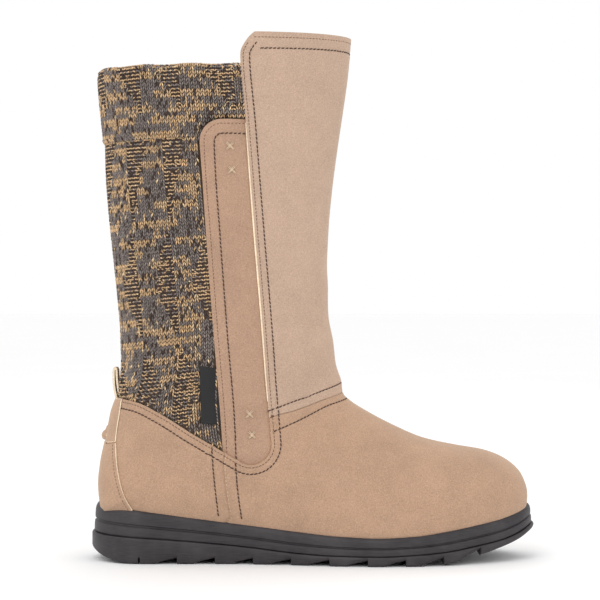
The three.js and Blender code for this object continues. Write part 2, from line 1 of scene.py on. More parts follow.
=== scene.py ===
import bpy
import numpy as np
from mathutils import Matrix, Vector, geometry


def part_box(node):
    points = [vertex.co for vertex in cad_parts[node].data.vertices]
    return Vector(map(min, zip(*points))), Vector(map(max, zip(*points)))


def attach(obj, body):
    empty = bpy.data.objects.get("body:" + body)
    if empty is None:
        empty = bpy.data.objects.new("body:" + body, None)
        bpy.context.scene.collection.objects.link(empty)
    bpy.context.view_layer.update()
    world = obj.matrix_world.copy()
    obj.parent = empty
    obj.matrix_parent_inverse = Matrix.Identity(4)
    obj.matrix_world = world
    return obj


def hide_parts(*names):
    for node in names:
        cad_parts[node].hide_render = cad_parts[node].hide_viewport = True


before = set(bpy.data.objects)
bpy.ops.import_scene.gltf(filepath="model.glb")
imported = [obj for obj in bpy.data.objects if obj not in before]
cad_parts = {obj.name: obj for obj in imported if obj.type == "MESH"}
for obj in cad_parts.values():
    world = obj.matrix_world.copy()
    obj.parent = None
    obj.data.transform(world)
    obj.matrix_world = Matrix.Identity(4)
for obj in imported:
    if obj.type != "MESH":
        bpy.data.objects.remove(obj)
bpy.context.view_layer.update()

# %% [markdown]
# # A right winter boot: suede, knit and rubber
# The boot was lasted: its suede pieces were cut flat, sewn, and pulled over a foot-shaped form.
# So the form is worked out first, as a formula, and every soft piece is wrapped onto it. The
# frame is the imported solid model, and its boxes give the sizes.

for spare in ("Cube", "Light", "Camera"):
    if spare in bpy.data.objects:
        bpy.data.objects.remove(bpy.data.objects[spare])
MM = 0.001
sole_low, sole_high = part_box("outsole")
LENGTH = (sole_high.x - sole_low.x) / MM
SHAFT_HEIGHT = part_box("upper")[1].z / MM
BALL_WIDTH = 97  # the widths and the instep's height, in mm, are the last's own
INSTEP = 98
SHAFT_WIDTH = 77
print("boot", round(LENGTH), "long and", round(SHAFT_HEIGHT), "high, in mm")

# %% [markdown]
# ## Curves through short tables
# The outline, the sole's heights and the last are short tables. A smooth curve is laid through
# each column, and it never swings past its own points, so no bump appears between them.

# %% A curve through points
def through(x, y):
    """A curve through points, which bends smoothly and keeps between its neighbours."""
    x, y = np.array(x, float), np.array(y, float)
    rise = np.diff(y) / np.diff(x)
    product, total = rise[:-1] * rise[1:], rise[:-1] + rise[1:]
    inner = np.where(product > 0, 2 * product / np.where(product > 0, total, 1), 0)
    slope = np.concatenate([rise[:1], inner, rise[-1:]])

    def curve(at):
        i = np.clip(np.searchsorted(x, at, side="right") - 1, 0, len(x) - 2)
        step = x[i + 1] - x[i]
        t = np.clip((at - x[i]) / step, 0, 1)
        ease = t * t * (3 - 2 * t)
        lean = slope[i] * t * (1 - t) ** 2 + slope[i + 1] * t * t * (t - 1)
        return y[i] * (1 - ease) + y[i + 1] * ease + step * lean

    return curve


def smooth(x, start, end):
    """0 before start, 1 after end, and an even ease between them."""
    t = np.clip((x - start) / (end - start), 0, 1)
    return t * t * (3 - 2 * t)


def rounding(t, power):
    """1 at t = 0, falling to 0 at t = 1 along a rounded corner. A higher power is squarer."""
    return (1 - np.clip(t, 0, 1) ** power) ** (1 / power)


# %% [markdown]
# ## The sole's outline
# A sole is cut from its outline, wider outside the ball of the foot than inside it. It lifts at
# the toe, so that the boot rolls forward, and a little at the heel. All heights hang on x.

# %% The sole's outline and heights
# share of the length, half width outside, half width inside, as shares of half the ball width
OUTLINE = np.array([
    (0.0, 0.69, 0.69), (0.13, 0.7, 0.69), (0.3, 0.7, 0.63), (0.43, 0.78, 0.64), (0.56, 0.93, 0.8),
    (0.66, 1.0, 0.95), (0.76, 0.99, 0.945), (0.88, 0.93, 0.9), (1.0, 0.88, 0.86),
])
# share of the length, underside, top of the outsole, top of the midsole
SOLE_HEIGHTS = np.array([
    (0.0, 7.0, 17.0, 34.0), (0.03, 3.2, 16.4, 33.4), (0.09, 0.0, 15.6, 31.8), (0.22, 0.0, 13.3, 27.6),
    (0.36, 0.0, 9.8, 22.8), (0.47, 0.0, 6.7, 19.2), (0.55, 0.0, 5.8, 17.3), (0.64, 0.0, 5.6, 16.4),
    (0.72, 0.0, 6.4, 17.3), (0.79, 1.2, 7.8, 19.6), (0.86, 4.8, 10.6, 22.6), (0.92, 9.2, 13.4, 25.6),
    (0.96, 12.8, 16.6, 28.6), (1.0, 18.0, 21.4, 32.6),
])
TOE_DRIFT = 6  # how far the toe's middle turns to the inner side
TOE_FROM, TOE_RUN, TOE_POWER = 0.7, 0.3, 2.15
HEEL_RUN, HEEL_POWER = 0.13, 2.2
outside_share = through(OUTLINE[:, 0], OUTLINE[:, 1])
inside_share = through(OUTLINE[:, 0], OUTLINE[:, 2])
heights = [through(SOLE_HEIGHTS[:, 0], SOLE_HEIGHTS[:, i]) for i in (1, 2, 3)]


def ground(x):
    """The outsole's underside."""
    return heights[0](x / LENGTH)


def ledge(x):
    """The outsole's top, where the midsole starts."""
    return heights[1](x / LENGTH)


def rim(x):
    """The midsole's top, where the suede goes in."""
    return heights[2](x / LENGTH)


def middle(x):
    """The middle line of the boot, seen from above."""
    return TOE_DRIFT * smooth(x / LENGTH, 0.45, 1)


def toe_round(share):
    return rounding((share - TOE_FROM) / TOE_RUN, TOE_POWER)


def outline_ring(xs, inset):
    """The outline as a closed ring, moved in by inset(x). It starts at the heel, outer side first."""
    x = np.concatenate([xs[:-1], xs[:0:-1]])
    side = np.repeat([-1, 1], len(xs) - 1)
    share = np.where(side < 0, outside_share(x / LENGTH), inside_share(x / LENGTH))
    half = share * rounding(1 - x / LENGTH / HEEL_RUN, HEEL_POWER) * toe_round(x / LENGTH) * BALL_WIDTH / 2
    ring = np.stack([x, middle(x) + side * half], 1)
    along = np.roll(ring, -1, 0) - np.roll(ring, 1, 0)
    along /= np.linalg.norm(along, axis=1)[:, None]
    return ring + np.stack([-along[:, 1], along[:, 0]], 1) * inset(x)[:, None]


def stations(count):
    """Places along the sole, closer together at its round ends."""
    return LENGTH * (1 - np.cos(np.pi * np.arange(count + 1) / count)) / 2


def upper_inset(x):
    """How far the suede stands inside the outline where it goes into the sole."""
    return 7.5 - 2.5 * smooth(x, 0, 60)


outline_y = outline_ring(stations(26), lambda x: 0 * x)[:, 1]
ACROSS = -(outline_y.min() + outline_y.max()) / 2


def framed(points):
    """Millimetres from the back of the heel, to metres in the frame."""
    return (np.asarray(points) + (-LENGTH / 2, ACROSS, 0)) * MM


# %% [markdown]
# ## The last
# Slices fan out from the toe to the collar. Each is a rounded arch, given by where it starts
# (on the sole, or on the back seam), where its ridge is, and how wide and how square it is.

# %% The last's tables
# base and ridge x as shares of the length, ridge z as a share of the instep, half widths outside
# and inside, height of the fullest place, squareness below and above it
FOOT = np.array([
    (0.9815, 0.982, 0.3, 0.86, 0.83, 0.4, 2.2, 2.2),
    (0.968, 0.985, 0.4, 0.865, 0.835, 0.38, 2.2, 2.2),
    (0.944, 0.974, 0.505, 0.87, 0.845, 0.34, 2.2, 2.2),
    (0.904, 0.9415, 0.6, 0.875, 0.855, 0.3, 2.2, 2.25),
    (0.844, 0.888, 0.664, 0.895, 0.875, 0.28, 2.2, 2.25),
    (0.76, 0.822, 0.697, 0.915, 0.88, 0.26, 2.2, 2.15),
    (0.667, 0.752, 0.74, 0.92, 0.87, 0.26, 2.1, 2.05),
    (0.556, 0.681, 0.823, 0.875, 0.8, 0.28, 2.1, 1.95),
    (0.437, 0.622, 0.912, 0.79, 0.73, 0.31, 2.2, 1.9),
    (0.315, 0.5852, 0.978, 0.735, 0.7, 0.34, 2.4, 1.9),
    (0.2, 0.5715, 1.015, 0.71, 0.69, 0.36, 2.8, 1.95),
    (0.11, 0.567, 1.05, 0.705, 0.69, 0.37, 3.4, 2.0),
    (0.06, 0.565, 1.08, 0.705, 0.69, 0.38, 3.8, 2.0),
    (0.037, 0.563, 1.1, 0.705, 0.69, 0.385, 4.0, 2.0),
    (0.028, 0.561, 1.12, 0.705, 0.69, 0.39, 4.0, 2.0),
])
# back x, back z, ridge x, ridge z as shares of the length and the height, half width, then as above
SHAFT = np.array([
    (0.02, 0.146, 0.558, 0.355, 0.89, 0.4, 3.6, 2.0),
    (0.0237, 0.184, 0.5535, 0.3715, 0.885, 0.42, 3.2, 2.05),
    (0.0328, 0.2255, 0.546, 0.397, 0.88, 0.44, 2.8, 2.1),
    (0.0435, 0.2795, 0.5393, 0.432, 0.88, 0.46, 2.5, 2.1),
    (0.0615, 0.327, 0.534, 0.47, 0.88, 0.48, 2.3, 2.15),
    (0.0678, 0.378, 0.531, 0.514, 0.88, 0.5, 2.2, 2.15),
    (0.0652, 0.435, 0.5307, 0.5555, 0.885, 0.5, 2.1, 2.15),
    (0.0567, 0.5175, 0.534, 0.632, 0.905, 0.5, 2.1, 2.15),
    (0.0444, 0.622, 0.542, 0.708, 0.935, 0.5, 2.15, 2.15),
    (0.0333, 0.7365, 0.5535, 0.784, 0.965, 0.5, 2.15, 2.15),
    (0.0304, 0.832, 0.5667, 0.86, 0.985, 0.5, 2.15, 2.15),
    (0.0244, 0.921, 0.579, 0.9365, 0.995, 0.5, 2.15, 2.15),
    (0.0222, 1.0, 0.5852, 1.0, 1.0, 0.5, 2.15, 2.15),
])
RIM_OVERLAP = 2.9  # how far the suede goes down into the midsole
HEEL = len(FOOT) - 1
COLLAR = len(FOOT) + len(SHAFT) - 1
columns = {
    "base_x": np.append(FOOT[:, 0], SHAFT[:, 0]) * LENGTH,
    "base_z": np.append(rim(FOOT[:, 0] * LENGTH) - RIM_OVERLAP, SHAFT[:, 1] * SHAFT_HEIGHT),
    "ridge_x": np.append(FOOT[:, 1], SHAFT[:, 2]) * LENGTH,
    "ridge_z": np.append(FOOT[:, 2] * INSTEP, SHAFT[:, 3] * SHAFT_HEIGHT),
    "outside": np.append(FOOT[:, 3] * BALL_WIDTH, SHAFT[:, 4] * SHAFT_WIDTH) / 2,
    "inside": np.append(FOOT[:, 4] * BALL_WIDTH, SHAFT[:, 4] * SHAFT_WIDTH) / 2,
    "fullest": np.append(FOOT[:, 5], SHAFT[:, 5]),
    "low": np.append(FOOT[:, 6], SHAFT[:, 6]),
    "high": np.append(FOOT[:, 7], SHAFT[:, 7]),
}
last = {name: through(np.arange(COLLAR + 1), values) for name, values in columns.items()}
print("the last has", COLLAR + 1, "slices")

# %% The feather line, where the last meets the sole
FEATHER_STEPS = 120
feather = outline_ring(stations(FEATHER_STEPS), upper_inset)


def feather_line(points):
    points = points[np.argsort(points[:, 0])]
    keep = np.append(True, np.diff(points[:, 0]) > 1e-6)
    return through(points[keep, 0], points[keep, 1])


feather_y = {
    -1: feather_line(feather[: FEATHER_STEPS + 1]),
    1: feather_line(np.append(feather[FEATHER_STEPS:], feather[:1], 0)),
}
print("feather line:", len(feather), "places")

# %% A point on the last
def arch(s, side):
    """What a slice is made of, at place s in the tables."""
    at = {name: curve(s) for name, curve in last.items()}
    start = np.where(side < 0, feather_y[-1](at["base_x"]), feather_y[1](at["base_x"]))
    base = np.where(s < HEEL, np.abs(start - middle(at["base_x"])), 0)
    toe = np.where(s < HEEL, toe_round(at["base_x"] / columns["base_x"][0]), 1)
    at["half"] = np.maximum(np.maximum(base, toe * np.where(side < 0, at["outside"], at["inside"])), 1e-6)
    at["first"] = np.arcsin(np.minimum(base / at["half"], 0.995) ** (at["low"] / 2))
    return at


def last_point(s, v, side):
    """v is 0 at the slice's base, 1 at its fullest place and 2 on its ridge."""
    at = arch(s, side)
    low = at["first"] + (np.pi / 2 - at["first"]) * np.clip(v, 0, 1)
    high = np.pi / 2 * np.clip(v - 1, 0, 1)
    wide = np.where(v > 1, np.clip(np.cos(high), 0, 1) ** (2 / at["high"]), np.sin(low) ** (2 / at["low"]))
    below = at["fullest"] * (1 - (np.clip(np.cos(low), 0, 1) / np.cos(at["first"])) ** (2 / at["low"]))
    above = at["fullest"] + (1 - at["fullest"]) * np.sin(high) ** (2 / at["high"])
    t = np.where(v > 1, above, below)
    x = at["base_x"] + (at["ridge_x"] - at["base_x"]) * t
    z = at["base_z"] + (at["ridge_z"] - at["base_z"]) * t
    return np.stack([x, middle(x) + side * at["half"] * wide, z], -1)


# %% [markdown]
# ## The last, rolled out flat
# Leather is cut from flat patterns. Here a flat place is a pair of millimetres: how far along
# the last, and how far round it from the ridge, with the outer side of the boot negative.

# %% From the flat pattern to the last and back
HALF = 80
SLICE_STEP = 0.05
SHARES = 320
HALVINGS = 30
slices = np.arange(0, COLLAR + SLICE_STEP / 2, SLICE_STEP)
marks = np.arange(2 * HALF + 1)


def v_at(k):
    """Marks round an arch crowd at its ends and at its fullest place, where it turns fastest."""
    first, second = np.clip(k, 0, HALF), np.clip(k - HALF, 0, HALF)
    return (1 - np.cos(np.pi * first / HALF)) / 2 + (1 - np.cos(np.pi * second / HALF)) / 2


def k_at(v):
    first, second = np.clip(v, 0, 1), np.clip(v - 1, 0, 1)
    return HALF * (np.arccos(1 - 2 * first) + np.arccos(1 - 2 * second)) / np.pi


def between(grid, i, j):
    """A value between a table's own rows and columns."""
    i, j = np.clip(i, 0, grid.shape[0] - 1.001), np.clip(j, 0, grid.shape[1] - 1.001)
    a, b = np.floor(i).astype(int), np.floor(j).astype(int)
    f, g = i - a, j - b
    low = grid[a, b] * (1 - g) + grid[a, b + 1] * g
    return low * (1 - f) + (grid[a + 1, b] * (1 - g) + grid[a + 1, b + 1] * g) * f


round_from_ridge, place_of_share, mid_line = {}, {}, 0
for side in (-1, 1):
    net = last_point(slices[:, None], v_at(marks)[None], side)
    steps = np.linalg.norm(np.diff(net, axis=1), axis=2)
    arc = np.append(np.cumsum(steps[:, ::-1], 1)[:, ::-1], np.zeros((len(slices), 1)), 1)
    shares = np.linspace(0, 1, SHARES + 1)
    place = np.array([np.interp(shares * row[0], row[::-1], marks[::-1]) for row in arc])
    round_from_ridge[side], place_of_share[side] = arc, place
    centre = last_point(slices, v_at(place[:, SHARES // 2]), side)
    mid_line = mid_line + np.linalg.norm(np.diff(centre, axis=0), axis=1) / 2
along_last = np.append(0, np.cumsum(mid_line))
print("the last is", round(along_last[-1]), "mm along its side, from toe to collar")

# %% Between the pattern, the last and the side view
def slice_at(along):
    return np.interp(along, along_last, slices)


def reach(s, side):
    """How far it is round the last at a slice, from the ridge to the sole or to the back seam."""
    return np.interp(s, slices, round_from_ridge[side][:, 0])


def flat_point(flat):
    """The place on the last. Past the back seam, the pattern goes on round the other side."""
    s = slice_at(flat[..., 0])
    q = flat[..., 1]
    widest = np.where(q < 0, reach(s, -1), reach(s, 1))
    past = np.maximum(np.abs(q) - widest, 0) * (s >= HEEL)
    q = np.where(past > 0, -np.sign(q) * (widest - past), q)
    side = np.where(q < 0, -1, 1)
    share = SHARES * np.clip(np.abs(q) / np.maximum(widest, 1e-6), 0, 1)
    places = [between(place_of_share[i], s / SLICE_STEP, share) for i in (-1, 1)]
    return last_point(s, v_at(np.where(q < 0, places[0], places[1])), side)


def flat_normal(flat, step=0.35):
    """The direction straight out of the last."""
    along = flat_point(flat + (step, 0)) - flat_point(flat - (step, 0))
    across = flat_point(flat + (0, step)) - flat_point(flat - (0, step))
    normal = np.cross(across, along)
    length = np.linalg.norm(normal, axis=-1, keepdims=True)
    return np.where(length > 1e-9, normal / np.maximum(length, 1e-9), (1, 0, 0))


def flat_at(x, z, side):
    """The flat place of a point drawn in side view."""
    x, z = np.asarray(x, float), np.asarray(z, float)
    low, high = 0 * x, 0 * x + COLLAR
    for _ in range(HALVINGS):
        s = (low + high) / 2
        run = last["ridge_x"](s) - last["base_x"](s)
        rise = last["ridge_z"](s) - last["base_z"](s)
        above = run * (z - last["base_z"](s)) - rise * (x - last["base_x"](s)) > 0
        low, high = np.where(above, s, low), np.where(above, high, s)
    at = arch(s, side + 0 * x)
    run, rise = at["ridge_x"] - at["base_x"], at["ridge_z"] - at["base_z"]
    t = np.clip(((x - at["base_x"]) * run + (z - at["base_z"]) * rise) / (run**2 + rise**2), 0, 1)
    full = at["fullest"]
    cosine = np.cos(at["first"]) * np.clip(1 - t / full, 0, 1) ** (at["low"] / 2)
    below = (np.arccos(cosine) - at["first"]) / (np.pi / 2 - at["first"])
    above = 1 + np.arcsin(np.clip((t - full) / (1 - full), 0, 1) ** (at["high"] / 2)) * 2 / np.pi
    k = k_at(np.where(t > full, above, below))
    arc = between(round_from_ridge[side], s / SLICE_STEP, k)
    return np.stack([np.interp(s, slices, along_last), side * arc], -1)


test = np.array([(60.0, 200.0), (120.0, 250.0), (180.0, 50.0)])
back = flat_point(flat_at(test[:, 0], test[:, 1], -1))
print("side view and back, error in mm:", np.abs(back[:, [0, 2]] - test).max().round(3))

# %% [markdown]
# ## Camera and light
# The boot stands side-on at its own middle height, in a plain bright studio. A long lens from
# over a metre away keeps its outline almost free of perspective.

# %% Small helpers for colour and place
def srgb(red, green, blue, alpha=1.0):
    """A screen colour, 0 to 255, as the linear colour that shaders work in."""
    part = np.array([red, green, blue]) / 255
    linear = np.where(part <= 0.04045, part / 12.92, ((part + 0.055) / 1.055) ** 2.4)
    return (*linear.tolist(), alpha)


def link(object_):
    bpy.context.scene.collection.objects.link(object_)
    return object_


def aim(object_, place, target):
    object_.location = place
    object_.rotation_euler = (Vector(target) - Vector(place)).to_track_quat("-Z", "Y").to_euler()


# %% Camera
EYE, LOOK_AT = (-0.0083, -1.15, 0.157), (-0.0083, 0, 0.157)
scene = bpy.context.scene
scene.view_settings.view_transform = "Standard"
camera = link(bpy.data.objects.new("camera", bpy.data.cameras.new("camera")))
camera.data.lens = 112.7
camera.data.sensor_width = 36
aim(camera, EYE, LOOK_AT)
scene.camera = camera
print("camera", round((Vector(EYE) - Vector(LOOK_AT)).length, 2), "m away")

# %% Soft lights and the floor
def soft_light(name, place, target, size, watts):
    light = bpy.data.lights.new(name, "AREA")
    light.shape, light.size, light.energy = "SQUARE", size, watts
    aim(link(bpy.data.objects.new(name, light)), place, target)


soft_light("key", (-0.7, -1.5, 1.5), (0, 0, 0.15), 1.2, 9)
soft_light("fill", (1.2, -1.0, 0.7), (0, 0, 0.12), 1.2, 2)
soft_light("back", (0.3, 1.4, 1.3), (0, 0, 0.15), 1.2, 3)
world = bpy.data.worlds.new("studio")
world.use_nodes = True
sky = world.node_tree.nodes["Background"]
sky.inputs["Color"].default_value = (1, 1, 1, 1)
sky.inputs["Strength"].default_value = 1.0
scene.world = world

bpy.ops.mesh.primitive_plane_add(size=40, location=(0, 0, 0))
floor = bpy.context.object
floor.name = "studio_floor"
print("three soft lights, a white sky and a floor")

# %% [markdown]
# ## Finishes
# Each material is built from noise in the object's own coordinates, in metres, so its grain is
# at the real scale. What several finishes share is a node group.

# %% Node helpers
def node(tree, kind, **values):
    """A new node, with its sockets or its settings given by name."""
    made = tree.nodes.new(kind)
    for name, value in values.items():
        if name in made.inputs:
            made.inputs[name].default_value = value
        else:
            setattr(made, name.lower().replace(" ", "_"), value)
    return made


def new_group(name, inputs, outputs):
    """An empty node group, with its sockets given as name: (type, value)."""
    tree = bpy.data.node_groups.new(name, "ShaderNodeTree")
    for kind, sockets in (("INPUT", inputs), ("OUTPUT", outputs)):
        for socket, (socket_type, value) in sockets.items():
            made = tree.interface.new_socket(socket, in_out=kind, socket_type=socket_type)
            if value is not None:
                made.default_value = value
    return tree, tree.nodes.new("NodeGroupInput"), tree.nodes.new("NodeGroupOutput")


def noise(tree, scale, detail, where=None):
    made = node(tree, "ShaderNodeTexNoise", Scale=scale, Detail=detail)
    if where is not None:
        tree.links.new(where, made.inputs["Vector"])
    return made.outputs["Fac"]


def put(tree, value, socket):
    """Sets a socket to a number or a colour, or links another node's output to it."""
    if isinstance(value, (tuple, list, float, int)):
        socket.default_value = value
    else:
        tree.links.new(value, socket)


def math(tree, operation, a, b):
    made = tree.nodes.new("ShaderNodeMath")
    made.operation = operation
    put(tree, a, made.inputs[0])
    put(tree, b, made.inputs[1])
    return made.outputs[0]


def spread(tree, value, low, high):
    """Stretch a mask, so that low becomes 0 and high becomes 1."""
    made = node(tree, "ShaderNodeMapRange")
    made.inputs["From Min"].default_value, made.inputs["From Max"].default_value = low, high
    tree.links.new(value, made.inputs["Value"])
    return made.outputs["Result"]


def mix_colours(tree, amount, first, second):
    made = tree.nodes.new("ShaderNodeMix")
    made.data_type = "RGBA"
    factor, colour_a, colour_b = made.inputs[0], made.inputs[6], made.inputs[7]
    for socket, value in ((factor, amount), (colour_a, first), (colour_b, second)):
        put(tree, value, socket)
    return made.outputs[2]


def scaled_colour(tree, colour, amount):
    """A colour made lighter or darker by a mask."""
    made = tree.nodes.new("ShaderNodeVectorMath")
    made.operation = "SCALE"
    tree.links.new(colour, made.inputs[0])
    tree.links.new(amount, made.inputs["Scale"])
    return made.outputs["Vector"]


def object_place(tree):
    """The place on the piece, in metres, that every pattern is built from."""
    return tree.nodes.new("ShaderNodeTexCoord").outputs["Object"]


def bump(tree, height, distance, strength=1.0):
    made = node(tree, "ShaderNodeBump", Distance=distance, Strength=strength)
    tree.links.new(height, made.inputs["Height"])
    return made.outputs["Normal"]


def new_material(name, roughness, **constants):
    """A new material, its nodes and its shader. Numbers that are the same all over go in here."""
    material = bpy.data.materials.new(name)
    material.use_nodes = True
    shader = material.node_tree.nodes["Principled BSDF"]
    shader.inputs["Roughness"].default_value = roughness
    for socket, value in constants.items():
        shader.inputs[socket.replace("_", " ")].default_value = value
    return material, material.node_tree, shader


# %% [markdown]
# ## Suede
# Suede is leather's fleshy side, brushed up. Light falls into its pile, so it has hardly any
# shine, a pale sheen at grazing angles, and soft blotches where the pile leans another way. Slow
# noise makes the blotches, quick noise the pile. The six finishes below share the group.

# %% Nap, the soft pile of suede
nap, nap_in, nap_out = new_group(
    "soft nap",
    {"Colour": ("NodeSocketColor", None), "Blotches": ("NodeSocketFloat", 0.5)},
    {"Colour": ("NodeSocketColor", None), "Height": ("NodeSocketFloat", None)},
)
where = object_place(nap)
wide = spread(nap, noise(nap, 26, 4, where), 0.36, 0.64)
cloud = spread(nap, noise(nap, 95, 5, where), 0.34, 0.66)
pile = spread(nap, noise(nap, 1500, 3, where), 0.3, 0.7)
fine = noise(nap, 3200, 2, where)
shade = math(nap, "ADD", math(nap, "MULTIPLY", wide, 0.55), math(nap, "MULTIPLY", cloud, 0.45))
swing = math(nap, "MULTIPLY", math(nap, "SUBTRACT", shade, 0.5), nap_in.outputs["Blotches"])
grain = math(nap, "MULTIPLY", math(nap, "SUBTRACT", pile, 0.5), 0.36)
tone = math(nap, "ADD", math(nap, "ADD", swing, grain), 1.0)
nap.links.new(scaled_colour(nap, nap_in.outputs["Colour"], tone), nap_out.inputs["Colour"])
hairs = math(nap, "ADD", math(nap, "MULTIPLY", pile, 0.6), math(nap, "MULTIPLY", fine, 0.4))
nap.links.new(hairs, nap_out.inputs["Height"])
print("nap:", len(nap.nodes), "nodes")

# %% The leathers
def suede_material(name, colour, blotches, depth=0.00022):
    """Suede of a colour. Depth is how far its pile stands up, in metres."""
    material, tree, shader = new_material(name, 0.92, Sheen_Weight=0.35, Sheen_Roughness=0.5,
                                          Specular_IOR_Level=0.12)
    shader.inputs["Sheen Tint"].default_value = srgb(250, 232, 212)
    used = tree.nodes.new("ShaderNodeGroup")
    used.node_tree = nap
    used.inputs["Colour"].default_value = colour
    used.inputs["Blotches"].default_value = blotches
    tree.links.new(used.outputs["Colour"], shader.inputs["Base Color"])
    tree.links.new(bump(tree, used.outputs["Height"], depth, 0.7), shader.inputs["Normal"])
    return material


suede = suede_material("suede", srgb(178, 146, 122), 0.16)
shaft_suede = suede_material("shaft suede", srgb(185, 158, 138), 0.12)
strap_suede = suede_material("strap suede", srgb(173, 141, 119), 0.14)
raw_edge = suede_material("raw cream edge", srgb(244, 226, 198), 0.3)
cut_edge = suede_material("cut suede edge", srgb(212, 184, 158), 0.3)
fleece = suede_material("cream fleece", srgb(222, 208, 184), 0.3, 0.0008)
print("suedes, edges and fleece:", len(bpy.data.materials), "materials so far")

# %% The floor's paper
floor_finish, tree, shader = new_material("studio floor", 0.9)
paper = noise(tree, 3, 2, object_place(tree))
paper_colour = mix_colours(tree, paper, (0.97, 0.97, 0.97, 1), (0.995, 0.995, 0.995, 1))
tree.links.new(paper_colour, shader.inputs["Base Color"])
floor.data.materials.append(floor_finish)

# %% [markdown]
# ## Edges, drawn in side view
# The suede's big opening, where the knit shows, is one cut edge: down the front panel, round a
# notch, and back along the quarters to the heel. The seams start from it.

# %% Lines on the pattern
def unit_vectors(v):
    """The same directions, each of length one."""
    return v / np.maximum(np.linalg.norm(v, axis=1, keepdims=True), 1e-9)


def run_of(points):
    """How far along a line each of its points is."""
    return np.append(0, np.cumsum(np.linalg.norm(np.diff(points, axis=0), axis=1)))


def line_through(points, step=1.0):
    """A smooth line through points, as places about a step apart."""
    points = np.array(points, float)
    far = run_of(points)
    t = np.linspace(0, far[-1], max(int(far[-1] / step), 2) + 1)
    return np.stack([through(far, points[:, i])(t) for i in (0, 1)], 1)


def walk(flat, step):
    """The same line, as flat places an even step apart on the last. It keeps its ends."""
    far = run_of(flat_point(flat))
    t = np.linspace(0, far[-1], max(int(round(far[-1] / step)), 1) + 1)
    return np.stack([np.interp(t, far, flat[:, i]) for i in (0, 1)], 1)


def drawn_in(flat, distance):
    """A line moved sideways on the last, to the left of its direction as seen from outside."""
    point, normal = flat_point(flat), flat_normal(flat)
    along = np.gradient(point, axis=0)
    aside = np.cross(normal, along)
    aside /= np.maximum(np.linalg.norm(aside, axis=1, keepdims=True), 1e-9)
    step = 0.3
    a = (flat_point(flat + (step, 0)) - flat_point(flat - (step, 0))) / (2 * step)
    b = (flat_point(flat + (0, step)) - flat_point(flat - (0, step))) / (2 * step)
    aa, ab, bb = (a * a).sum(1), (a * b).sum(1), (b * b).sum(1)
    da, db = (a * aside).sum(1), (b * aside).sum(1)
    solid = np.maximum(aa * bb - ab * ab, 1e-6)
    return flat + distance * np.stack([(da * bb - db * ab) / solid, (db * aa - da * ab) / solid], 1)


def flat_line(points, side):
    """A line drawn in side view, on the pattern of one side."""
    points = np.asarray(points, float)
    return flat_at(points[:, 0], points[:, 1], side)


def place_on(s, q):
    """The flat place at slice s, q millimetres from the ridge."""
    return np.array([np.interp(s, slices, along_last), q])


def arc(x, z, radius, turn, radius_z=None):
    """A round corner in side view, about a centre."""
    return np.stack([x + radius * np.cos(turn), z + (radius_z or radius) * np.sin(turn)], 1)


print("a line 30 mm long gets", len(line_through([(0, 0), (30, 0)])), "places")

# %% The big opening's edge
PANEL_EDGE = [(103, 319), (95, 311), (91.4, 303), (94.7, 263), (100, 196), (104.6, 140), (107, 106)]
TOPLINE = [(62, 77.8), (43, 89.4), (28, 96), (12, 98.5)]
NOTCH = {-1: (97.5, 71.5, 12.5), 1: (79.5, 99.0, 28.0)}  # centre x, centre z, radius
NOTCH_END = -2.15
TOPLINE_BACK = 98.6
opening = {}
for side in (-1, 1):
    notch = arc(*NOTCH[side], np.linspace(0, NOTCH_END, 40))
    down, back = line_through(PANEL_EDGE), line_through(TOPLINE)
    to_notch = np.linspace(down[-1], notch[0], 24)[1:-1]
    from_notch = np.linspace(notch[-1], back[0], 24)[1:-1]
    opening[side] = np.concatenate([down, to_notch, notch, from_notch, back])
print("the opening's edge:", len(opening[-1]), "places outside,", len(opening[1]), "inside")

# %% The seams that start from it
SEAM_START = {-1: (109.4, 86.0), 1: (104.8, 87.0)}
SIDE_SEAM = {
    -1: [(81.9, 64.8), (81.2, 60), (82.6, 44), (85.3, 26)],
    1: [(80, 71), (80.6, 60), (82.6, 44), (85.3, 26)],
}
RIDGE_SEAM = 101.0  # height of the low seam on the ridge
LOW_SEAM = [(125, 91.4), (140, 96.6)]
COLLAR_PAST = 1.5


shaft_slices = slices[slices >= HEEL]
back_x = last["base_x"](shaft_slices)
back_z = last["base_z"](shaft_slices)


def nearest(line, place):
    return int(np.argmin(np.linalg.norm(line - place, axis=1)))


def back_slice(height):
    """The slice that meets the back seam at a height."""
    return np.interp(height, back_z, shaft_slices)


def ridge_place(height):
    """The flat place on the ridge at a height."""
    return place_on(slices[np.argmin(np.abs(last["ridge_z"](slices) - height))], 0.0)


s_back = back_slice(TOPLINE_BACK)
edge_flat, shaft_edge, notch_edge, quarter_edge, side_seam = {}, {}, {}, {}, {}
for side in (-1, 1):
    line = opening[side][opening[side][:, 1] < SHAFT_HEIGHT + COLLAR_PAST]
    start, turn_back = nearest(line, SEAM_START[side]), nearest(line, SIDE_SEAM[side][0])
    flat = flat_line(line, side)
    flat = np.append(flat, [place_on(s_back, side * reach(s_back, side))], 0)
    shaft_edge[side] = flat[: start + 1]
    notch_edge[side] = flat[start : turn_back + 1]
    quarter_edge[side] = flat[turn_back:]
    edge_flat[side] = flat
    seam = flat_line(line_through([line[turn_back]] + SIDE_SEAM[side][1:]), side)
    s_foot = slice_at(seam[-1, 0])
    seam[-1] = place_on(s_foot, side * reach(s_foot, side))
    side_seam[side] = seam
low_seam = line_through([
    notch_edge[-1][0], *flat_line(LOW_SEAM, -1), ridge_place(RIDGE_SEAM),
    *flat_line(LOW_SEAM[::-1], 1), notch_edge[1][0],
])
print("cut edges:", {side: len(edge_flat[side]) for side in edge_flat})

# %% [markdown]
# ## Cutting a piece
# A piece's outline is drawn flat and filled with small triangles, closer together near its edges
# and under its stitches. Then every corner is laid on the last, and Solidify gives the leather
# its thickness. A primitive can't start with such an outline, so this is mesh code.

